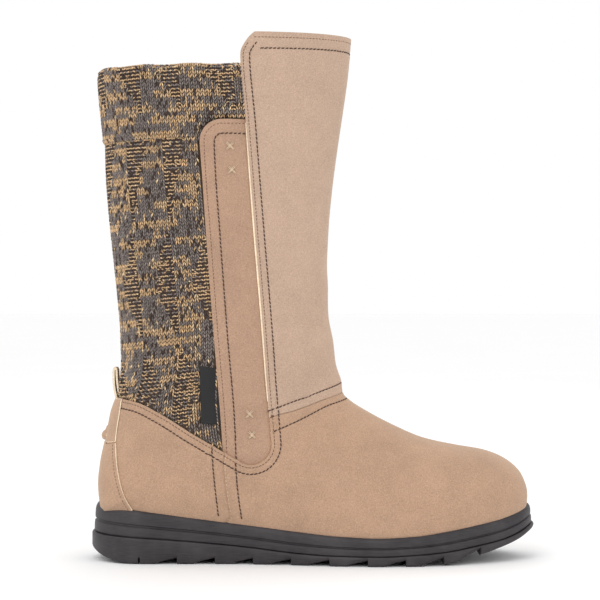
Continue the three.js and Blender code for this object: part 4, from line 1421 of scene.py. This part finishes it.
# %% Fleece lining
LINING_TOP = 288
LINING_LINE = [(20, LINING_TOP), (60, LINING_TOP), (87, LINING_TOP + 1), (95, 302), (104, 314.6)]
s_top = back_slice(LINING_TOP)
soles = {side: foot_edge(0, HEEL, side) for side in (-1, 1)}
seams = {side: foot_edge(HEEL, s_top, side) for side in (-1, 1)}
tops = {side: flat_line(LINING_LINE, side) for side in (-1, 1)}
crown = np.linspace(tops[-1][-1, 1], tops[1][-1, 1], 30)
crown = np.stack([np.full(30, tops[-1][-1, 0]), crown], 1)
outer_top, inner_top_edge = (np.append(seams[side][-1:], tops[side], 0) for side in (-1, 1))
lining_edges = [
    soles[-1], seams[-1], outer_top, crown, inner_top_edge[::-1], seams[1][::-1], soles[1][::-1],
]
flat, faces = cut_flat(lining_edges, 5.0, edge_step=3.5, margins=())
inward = 1.5 + 1.5 * smooth(from_opening(flat), -9, -3)
points = flat_point(flat) - flat_normal(flat) * inward[:, None]
finish_piece(leather("fleece_lining", points, faces, [fleece], 1.3, 0.3), "lining")

# %% [markdown]
# ## Knit
# The knit is marled yarn: each stitch is a V of two plump strands, and columns of purl stitches
# make pennant-shaped patches. One strand is modelled once, with few faces, and copied. Under the
# strands is a dark sheet, painted shade for the gaps between the loops, so that no light comes through.

# %% Where the knit lies
WALES = 39
COURSE = 2.25
KNIT_TILT, KNIT_RUN = 9, 217  # the courses tip by so many degrees over so many mm down the shaft
LOWEST_FULL = 17  # below this slice the wales keep the width that they have there
FRONT_LINE = [(90, 322), *PANEL_EDGE[2:], (109, 60), (109.5, 45)]
wale_front = flat_line(line_through(FRONT_LINE, 3), -1)
front_s = slice_at(wale_front[:, 0])
front_q = np.abs(wale_front[:, 1])
order = np.argsort(front_s)
front_s, front_q = front_s[order], front_q[order]


def knit_flat(wale, height, side):
    """The flat place of a wale, counted from the back seam, at a course's height at the back."""
    slope = np.tan(np.radians(KNIT_TILT * (KNIT_TOP - height) / KNIT_RUN))
    start = np.interp(height, back_z, back_x)
    low, high = 0 * wale + 8.0, 0 * wale + COLLAR
    for _ in range(24):
        s = (low + high) / 2
        front = np.interp(s, front_s, front_q)
        full = np.maximum(s, LOWEST_FULL)
        pitch = (reach(full, -1) - np.interp(full, front_s, front_q)) / WALES
        flat = np.stack([np.interp(s, slices, along_last), side * (front + (WALES - wale) * pitch)], -1)
        point = flat_point(flat)
        below = point[..., 2] < height + slope * (point[..., 0] - start)
        low, high = np.where(below, s, low), np.where(below, high, s)
    return flat


def from_edges(flat):
    """How far a place on the knit is from the suede's edge and from the strap. Under them it's negative."""
    far = from_opening(flat)
    point = flat_point(flat)[:, [0, 2]]
    outer = flat[:, 1] < 0
    strap_line = np.append(strap_ring, strap_ring[:1], 0)[::3]
    gap = to_line(point, strap_line) * np.where(inside(point, strap_ring), -1, 1)
    return np.where(outer, np.minimum(far, gap), far)


print(WALES, "wales on each side, a course every", COURSE, "mm")

# %% [markdown]
# ## Marled yarn
# The yarn is spun from tan and grey-brown fibres, so each strand gets its own colour, kept on its
# corners as "yarn". Fine noise breaks it up into fibres. The sheet behind the knit is painted shade, a
# mottled dark brown.

# %% Knit finishes
YARN = {"tan": np.array(srgb(208, 174, 134)), "grey": np.array(srgb(134, 123, 118)),
        "dark": np.array(srgb(78, 62, 56)), "light": np.array(srgb(222, 194, 152))}
knit_yarn, tree, shader = new_material("marled yarn", 0.95, Sheen_Weight=0.25, Specular_IOR_Level=0.1)
yarn_colour = tree.nodes.new("ShaderNodeAttribute")
yarn_colour.attribute_name = "yarn"
fibre = spread(tree, noise(tree, 1500, 4, object_place(tree)), 0.3, 0.7)
darker = math(tree, "ADD", math(tree, "MULTIPLY", fibre, 0.75), 0.58)
tree.links.new(scaled_colour(tree, yarn_colour.outputs["Color"], darker), shader.inputs["Base Color"])
tree.links.new(bump(tree, fibre, 0.0003, 0.8), shader.inputs["Normal"])
# painted shade: a dark, mottled sheet behind the knit stands for the shade between its loops
painted_shade_sheet, tree, shader = new_material("dark knit backing", 0.98, Specular_IOR_Level=0.05)
shade_sheet_mottle = noise(tree, 900, 4, object_place(tree))
tree.links.new(mix_colours(tree, shade_sheet_mottle, srgb(58, 48, 42), srgb(108, 92, 76)), shader.inputs["Base Color"])
tree.links.new(bump(tree, shade_sheet_mottle, 0.0005), shader.inputs["Normal"])


print("yarns:", ", ".join(YARN))

# %% [markdown]
# ## Painted shade behind the knit
# Between knitted loops there are holes. A dark skin just behind them is painted shade that keeps the
# light out, and it goes a little way under the suede, so that no gap shows along the edge.

# %% Painted shade sheet
SHADE_SHEET_FOOT, SHADE_SHEET_GROW, SHADE_SHEET_THICK = 80, 3.2, 0.6
seam_slices = back_slice([SHADE_SHEET_FOOT, KNIT_TOP - 4])
points, faces = [], []
for side in (-1, 1):
    seam = foot_edge(*seam_slices, side)
    front = drawn_in(walk(edge_flat[side], 1.5), -side * SHADE_SHEET_GROW)
    front = front[flat_point(front)[:, 2] < KNIT_TOP - 5]
    front = front[np.abs(front[:, 1]) < reach(slice_at(front[:, 0]), side) - 2]
    ends = np.stack([seam[-1], front[0]]), np.stack([front[-1], seam[0]])
    flat, found = cut_flat([seam, ends[0], front, ends[1]], 2.6, margins=(1.2,))
    inward = 0.5 + 1.3 * (1 - smooth(from_edges(flat), -1, 2.5))
    faces += [tuple(i + len(points) for i in face) for face in found]
    points += list(flat_point(flat) - flat_normal(flat) * inward[:, None])
# a sheet of painted shade behind the knit's stitches
knit_backing = leather("knit_backing", np.array(points), faces, [painted_shade_sheet], SHADE_SHEET_THICK)
finish_piece(knit_backing, "knit", "knit_shaft")

# %% [markdown]
# ## The knitted pattern
# A plain stitch shows as a V. A purl stitch is the same loop seen from behind, so it shows as two
# low waves, and a patch of them looks darker and ribbed. Here the patches are pennants, which
# hang, point back and then point forward. The chart is a rule, so that it fits any size.

# %% Where the purl stitches are
PENNANT = 8.9
PENNANT_START = 11.4


def purl(wale, course):
    """Pennants: bands of purl triangles, first hanging, then pointing back, then forward."""
    column = (wale - PENNANT_START) % PENNANT
    first = (course >= 18) & (course < 42) & (column < 5.6 * (1 - (course - 18) / 24))
    width = 5.8 * (1 - np.abs(course - 59) / 16)
    second = (course > 43) & (course < 76) & (PENNANT - column < width)
    width = 5.8 * np.minimum((course - 77) / 11, (107 - course) / 19.5)
    third = (course > 77) & (column < width)
    return first | second | third


CUFF_PENNANTS = (5.9, 15.9, 25.4, 36.6)
CUFF_PENNANT_LONG = 13.5


def cuff_purl(wale, course):
    """Pennants on the cuff, each widest at the top."""
    shown = np.zeros(len(wale), bool)
    for edge in CUFF_PENNANTS:
        shown |= (wale < edge) & (edge - wale < 6.4 * (1 - course / CUFF_PENNANT_LONG))
    return shown & (course > -1) & (course < CUFF_PENNANT_LONG)


print("pennants repeat every", PENNANT, "wales")

# %% [markdown]
# ## Laying the stitches
# A knit this size has thousands of loops. Modelled as one long yarn it would take millions of
# faces, so one strand is a small ball with few faces, stretched, and copied to every place. A
# little chance in length, lean and colour keeps it from looking like a machine's drawing.

# %% One strand, and the colour of the yarn
strand = unit_shape(sphere(4, 5))


def tan_share(wale, course):
    """How tan the yarn is: uneven stripes, which come and go along a course."""
    starts = np.cumsum(chance.integers(3, 6, int(course.max()) + 3))
    stripe = np.isin(course.astype(int), starts) | np.isin(course.astype(int) - 1, starts)
    band = np.searchsorted(starts, course.astype(int), side="right")
    phase, pace = chance.random(len(starts) + 1) * 6.3, 0.26 + 0.24 * chance.random(len(starts) + 1)
    wander = np.sin(wale * pace[band] + phase[band])
    return np.where(stripe, smooth(wander, -0.75, -0.5), 0.05 + 0.6 * smooth(wander, 0.75, 0.95))


print("one strand:", len(strand[1]), "faces")

# %% Lay the strands of every stitch
# the hand it is on, is it purl, lean, aside in pitches, rise and stand in mm, tilt, and its size
STRANDS = [(hand, False, -hand * 0.33, 0.25, 0.0, 0.0, 0.12, (3.75, 1.0, 1.3)) for hand in (-1, 1)]
STRANDS += [(hand, True, hand * 1.12, 0.25, 0.52, -0.22, 0.0, (2.35, 1.05, 1.35)) for hand in (-1, 1)]
STRANDS += [(hand, True, -hand * 1.2, 0.25, -0.58, -0.55, 0.0, (1.9, 0.95, 1.25)) for hand in (-1, 1)]
LIGHT_ODDS, DARK_ODDS, TONE_SPREAD, SIZE_SPREAD = 0.04, 0.88, 0.14, 0.05


def yarn_tint(share, number, count):
    """A colour for each strand: mostly tan or grey, a few light or dark."""
    if number >= 4:
        share = share * 0.15
    elif number >= 2:
        share = 0.5 + 0.45 * share
    tan = chance.random(count) < share
    tint = np.where(tan[:, None], YARN["tan"], YARN["dark"] if number >= 4 else YARN["grey"])
    odd = chance.random(count)[:, None]
    tint = np.where(odd < LIGHT_ODDS, YARN["light"], np.where(odd > DARK_ODDS, YARN["dark"], tint))
    tint = tint * (1 + chance.normal(0, TONE_SPREAD, (count, 1)))
    tint[:, 3] = 1
    return tint


def lay(name, spot, up, out, wale, course, purled, pitch):
    """Two strands for a plain stitch, which make a V, and four for a purl one, which make two waves."""
    across = np.cross(up, out)
    share = tan_share(wale, course)
    parts = []
    for number, (hand, is_purl, lean, aside, rise, stand, tilt, size) in enumerate(STRANDS):
        here = purled == is_purl
        count = int(here.sum())
        u, o, a = up[here], out[here], across[here]
        run, width = turned(u, a, lean + chance.normal(0, 0.05, count))
        centre = spot[here] + a * (aside * hand * pitch[here])[:, None] + u * rise + o * stand
        run = unit_vectors(run - o * tilt)
        lift = unit_vectors(np.cross(run, width))
        lift *= np.sign((lift * o).sum(1))[:, None]
        vary = 1 + chance.normal(0, SIZE_SPREAD, (count, 3))
        length, wide, tall = (size[i] * vary[:, i : i + 1] for i in range(3))
        tint = yarn_tint(share[here] * (1.0 if hand < 0 else 0.86), number, count)
        parts.append((centre, run * length, width * wide, lift * tall, tint))
    joined = [np.concatenate(part) for part in zip(*parts)]
    finish_piece(copies(name, strand, *joined[:4], knit_yarn, np.clip(joined[4], 0, 1)), "knit")


print(len(STRANDS), "kinds of strand")

# %% [markdown]
# ## The knitted sides
# Each side is a chart of wales, up the shaft, and courses, round it, laid on the last. Stitches
# that would lie under the suede or the strap are left out, and those beside it are pressed in,
# where the seam pulls the knit down. Each side is two pieces, so that none is too heavy.

# %% The knitted sides
COURSES = (18, 113)
MIDDLE_COURSE = 52  # the courses are counted from the top: the upper piece ends here
SEAM_PRESS, PRESS_REACH, RIB = 1.15, 3.2, 0.22


def chart(courses):
    """Every wale and course of one side, as two lists."""
    grids = np.meshgrid(np.arange(WALES) + 0.5, courses)
    return [grid.ravel().astype(float) for grid in grids]


for side, name in ((-1, "knit_outside"), (1, "knit_inside")):
    wale, course = chart(np.arange(*COURSES))
    height = KNIT_TOP - COURSE * (course + 0.5)
    flat = knit_flat(wale, height, side)
    far = from_edges(flat)
    keep = far > 0.35
    wale, course, height, flat, far = (part[keep] for part in (wale, course, height, flat, far))
    above, below = knit_flat(wale, height + 1, side), knit_flat(wale, height - 1, side)
    out = flat_normal(flat)
    up = unit_vectors(flat_point(above) - flat_point(below))
    up = unit_vectors(up - out * (up * out).sum(1)[:, None])
    one_on, one_back = (flat_point(knit_flat(wale + half, height, side)) for half in (0.5, -0.5))
    pitch = np.linalg.norm(one_on - one_back, axis=1)
    press = SEAM_PRESS * (1 - smooth(far, 0, PRESS_REACH))
    rib = RIB * np.cos((wale - PENNANT_START) * 2 * np.pi / PENNANT)
    spot = flat_point(flat) + out * (0.18 + rib - press)[:, None]
    purled = purl(wale, course)
    for part, rows in (("upper", course < MIDDLE_COURSE), ("lower", course >= MIDDLE_COURSE)):
        kept = (grid[rows] for grid in (spot, up, out, wale, course, purled, pitch))
        lay(name + "_" + part, *kept)

# %% [markdown]
# ## Turned-down cuff
# The knit's top is folded over to the outside. Its section is a path: up from the hem, over a
# soft roll, and down inside, where the lining starts. A cloth simulation could fold it, but a
# thick knit holds its own round shape, and the path gives that shape at once.

# %% The cuff's section
HEM, ROLL, STAND = 1.5, 2.7, 3.0
INNER_SIDE = 8  # how far the knit goes down inside
hem_length = HEM * np.pi / 2
roll_start = KNIT_TOP - ROLL - 0.6
outer_length = roll_start - (CUFF_BOTTOM + HEM)


def cuff_section(along):
    """Height, distance from the last, and turn, at a place along the cuff's section."""
    hem = np.clip(along / hem_length, 0, 1) * np.pi / 2
    outer = np.clip(along - hem_length, 0, outer_length)
    turn = np.clip((along - hem_length - outer_length) / ROLL, 0, np.pi)
    inner = np.maximum(along - hem_length - outer_length - ROLL * np.pi, 0)
    height = CUFF_BOTTOM + HEM * (1 - np.cos(hem)) + outer + ROLL * np.sin(turn) - inner
    stand = STAND - HEM + HEM * np.sin(hem) - ROLL * (1 - np.cos(turn))
    up_it = np.clip(outer / outer_length, 0, 1)
    swell = 0.5 * np.sin(np.pi * up_it) - 1.5 * (1 - up_it)
    return height, stand + swell, turn - (np.pi / 2 - hem)


cuff_length = hem_length + outer_length + ROLL * np.pi + INNER_SIDE


def cuff_place(wale, along, side, sunk):
    """A place on the cuff, with its directions up the section and out of it."""
    height, stand, turn = cuff_section(along)
    level = np.minimum(height, roll_start)
    flat = knit_flat(wale, level, side)
    out = flat_normal(flat)
    rise = unit_vectors(np.array([(0, 0, 1.0)]) - out * out[:, 2:])
    near = smooth(from_edges(flat), 0, 5)
    low = np.where(side < 0, 0.9, 1.0)
    stand = stand * (1 - low * (1 - near)) - 0.9 * (1 - near)
    slump = 0.5 * np.sin(wale * 0.55 + side) * smooth(along, 8, 40)
    point = flat_point(flat) + out * stand[:, None] + rise * (height - level + slump * 0.6)[:, None]
    c, s = np.cos(turn)[:, None], np.sin(turn)[:, None]
    up, outward = rise * c - out * s, out * c + rise * s
    return point - outward * sunk, up, outward, from_edges(flat)


print("round the cuff's section it is", round(cuff_length, 1), "mm")

# %% The cuff's painted shade sheet
# the cuff's own sheet of painted shade, under its stitches
CUFF_SUNK, CUFF_SHADE_SHEET_ROWS = 0.75, 40
cuff_backing, corners = grid_skin("cuff_backing", 2 * WALES, CUFF_SHADE_SHEET_ROWS)
wale = corners[:, 0] * (WALES - 0.4)
along = (corners[:, 1] + 1) / 2 * cuff_length
points = np.zeros((len(corners), 3))
for side in (-1, 1):
    here = wale < 0 if side < 0 else wale >= 0
    points[here] = cuff_place(np.abs(wale[here]), along[here], side, CUFF_SUNK)[0]
move_corners(cuff_backing, points, [painted_shade_sheet])
edit(cuff_backing, face_out)
thicken(cuff_backing, SHADE_SHEET_THICK)
finish_piece(cuff_backing, "knit", "knit_cuff")

# %% The cuff's stitches
CUFF_PITCH = 2.68
for side, name in ((-1, "cuff_outside"), (1, "cuff_inside")):
    wale, course = chart(np.arange(int(cuff_length / COURSE)))
    along = cuff_length - (course + 0.5) * COURSE
    spot, up, out, far = cuff_place(wale, along, side, 0.0)
    keep = far > 0.6
    spot, up, out, wale, course = (part[keep] for part in (spot, up, out, wale, course))
    from_top = course - (INNER_SIDE + ROLL * np.pi / 2) / COURSE
    pitch = np.full(len(spot), CUFF_PITCH)
    lay(name, spot, -up, out, wale, course, cuff_purl(wale, from_top), pitch)

# %% [markdown]
# ## Sole
# The outsole and the midsole are each a stack of rings of the outline, closed along the middle.
# Each starts as a grid. Its seam and its ends are merged, so that it is one closed skin.

# %% Stacked rings
def constant(value):
    return lambda x: value + 0 * x


def ring_stack(name, xs, rings, material):
    """A closed skin over a stack of outline rings, each given as its inset and its height."""
    count = 2 * (len(xs) - 1)
    ring_x = np.concatenate([xs[:-1], xs[:0:-1]])
    layers = []
    for inset, height in rings:
        ring = outline_ring(xs, inset if callable(inset) else constant(inset))
        layers.append(np.column_stack([ring, height(ring_x)]))
    partner = (count - np.arange(count)) % count
    closed = [(layer + layer[partner]) / 2 for layer in (layers[0], layers[-1])]
    layers = [closed[0], *layers, closed[1]]
    points = np.array([np.append(layer, layer[:1], 0) for layer in layers])
    made, places = grid_skin(name, count, len(layers) - 1)
    i = np.rint((places[:, 0] + 1) / 2 * count).astype(int)
    j = np.rint((places[:, 1] + 1) / 2 * (len(layers) - 1)).astype(int)
    move_corners(made, points[j, i], [material])
    edit(made, merge, lambda: bpy.ops.mesh.dissolve_degenerate(threshold=MERGE), face_out)
    choose(made)
    bpy.ops.object.shade_smooth_by_angle(angle=np.radians(34))
    return made


WALL_FOOT = 0.15


def between_heights(share):
    """A height on the midsole's wall, 0 at its foot and 1 at its rim."""
    return lambda x: ledge(x) + WALL_FOOT + share * (rim(x) - ledge(x) - WALL_FOOT)


wall_high = between_heights(1)(LENGTH / 2) - between_heights(0)(LENGTH / 2)
print("the midsole's wall is", round(float(wall_high), 1), "mm high in the middle")

# %% [markdown]
# ## Rubber
# Moulded black rubber is dull, with faint streaks along the sole and a little dust. Noise that is
# stretched along the boot makes the streaks, and slow noise the dust.

# %% Rubber
rubber, tree, shader = new_material("black rubber", 0.5, Specular_IOR_Level=0.4)
place = object_place(tree)
stretch = node(tree, "ShaderNodeMapping")
stretch.inputs["Scale"].default_value = (0.12, 0.6, 1.6)
tree.links.new(place, stretch.inputs["Vector"])
streaks = noise(tree, 900, 4, stretch.outputs["Vector"])
dust = spread(tree, noise(tree, 60, 5, place), 0.4, 0.75)
speck = noise(tree, 2200, 2, place)
tone = mix_colours(tree, spread(tree, streaks, 0.35, 0.7), srgb(36, 33, 36), srgb(54, 50, 53))
dusty = mix_colours(tree, math(tree, "MULTIPLY", dust, 0.35), tone, srgb(84, 79, 81))
tree.links.new(dusty, shader.inputs["Base Color"])
tree.links.new(math(tree, "ADD", math(tree, "MULTIPLY", streaks, 0.25), 0.4), shader.inputs["Roughness"])
grain = math(tree, "ADD", math(tree, "MULTIPLY", streaks, 0.7), math(tree, "MULTIPLY", speck, 0.3))
tree.links.new(bump(tree, grain, 0.00025, 0.6), shader.inputs["Normal"])
print("rubber:", len(tree.nodes), "nodes")

# %% [markdown]
# ## Outsole
# The tread is cut in a sawtooth: each groove is steep in front and runs out behind, so it grips
# when the foot pushes off. A narrow slit at the heel lets the rubber bend. The grooves are only
# in the heights of the rings, so the rings get extra stations where a groove starts and ends.

# %% The tread
LUG_FIRST, LUG_PITCH, LUGS, LUG_DEPTH, LUG_RUN = 53.5, 22.6, 9, 3.6, 13
SLIT = (30.4, 31.6)
SLIT_DEPTH = 3.2
lug_places = LUG_FIRST + LUG_PITCH * np.arange(LUGS)
xs = list(stations(110))
for lug in lug_places:
    xs = [x for x in xs if not lug - LUG_RUN - 0.5 < x < lug + 0.6]
    xs += list(lug - LUG_RUN * np.linspace(1, 0, 8)) + [lug + 0.12]
xs = [x for x in xs if not SLIT[0] - 0.8 < x < SLIT[1] + 0.8]
xs += [SLIT[0], SLIT[0] + 0.1, SLIT[1] - 0.1, SLIT[1]]
xs = np.array(sorted(xs))


def tread(x):
    """The outsole's underside with its grooves and its slit."""
    height = ground(x)
    for lug in lug_places:
        t = np.clip((lug - x) / LUG_RUN, 0, 1)
        cut = np.where((x <= lug) & (x > lug - LUG_RUN), LUG_DEPTH * (1 - t) ** 0.7, 0)
        height = height + cut
    return height + np.where((x > SLIT[0] + 0.05) & (x < SLIT[1] - 0.05), SLIT_DEPTH, 0)


print(len(xs), "stations along the outsole")

# %% Outsole
outsole = ring_stack("outsole_rubber", xs, [
    (2.2, tread), (1.2, lambda x: tread(x) + 0.25), (0.45, lambda x: tread(x) + 0.9),
    (0.0, lambda x: tread(x) + 2.0), (0.0, lambda x: np.maximum(ledge(x) - 1.3, tread(x) + 2.1)),
    (0.15, lambda x: ledge(x) - 0.6), (0.6, lambda x: ledge(x) - 0.1), (1.2, ledge),
], rubber)
finish_piece(outsole, "sole_rubber", "outsole")

# %% [markdown]
# ## Midsole
# The midsole is a band of rubber with a moulded groove round it, and a rim that the suede goes
# into. Its wall is a list of insets and heights, read from the foot of the wall up over the rim.

# %% Midsole
# how far in from the outline, and how far up the wall
WALL = [
    (3.0, 0), (2.0, 0), (1.5, 0.04), (1.4, 0.1), (1.5, 0.3), (1.7, 0.37), (2.7, 0.42), (2.7, 0.46),
    (1.9, 0.5), (1.9, 0.62), (2.1, 0.78), (2.5, 0.88), (3.3, 0.97),
]


def wall_inset(x):
    """The inside of the rim, just outside the suede."""
    return upper_inset(x) - 0.9


rim_rings = [
    (3.8, rim), (lambda x: wall_inset(x) - 0.3, rim),
    (wall_inset, lambda x: rim(x) - 0.4), (wall_inset, lambda x: rim(x) - 3.2),
]
wall_rings = [(inset, between_heights(share)) for inset, share in WALL]
midsole = ring_stack("midsole_rubber", stations(130), wall_rings + rim_rings, rubber)
finish_piece(midsole, "sole_rubber", "midsole")

# %% [markdown]
# ## Insole
# The footbed lies deep in the boot. Its solid already has the right shape, so it stays as it is
# and only gets the fleece.

# %% Insole
insole_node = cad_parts["insole"]
insole_node.data.materials.clear()
insole_node.data.materials.append(fleece)
print("insole finish:", insole_node.data.materials[0].name)
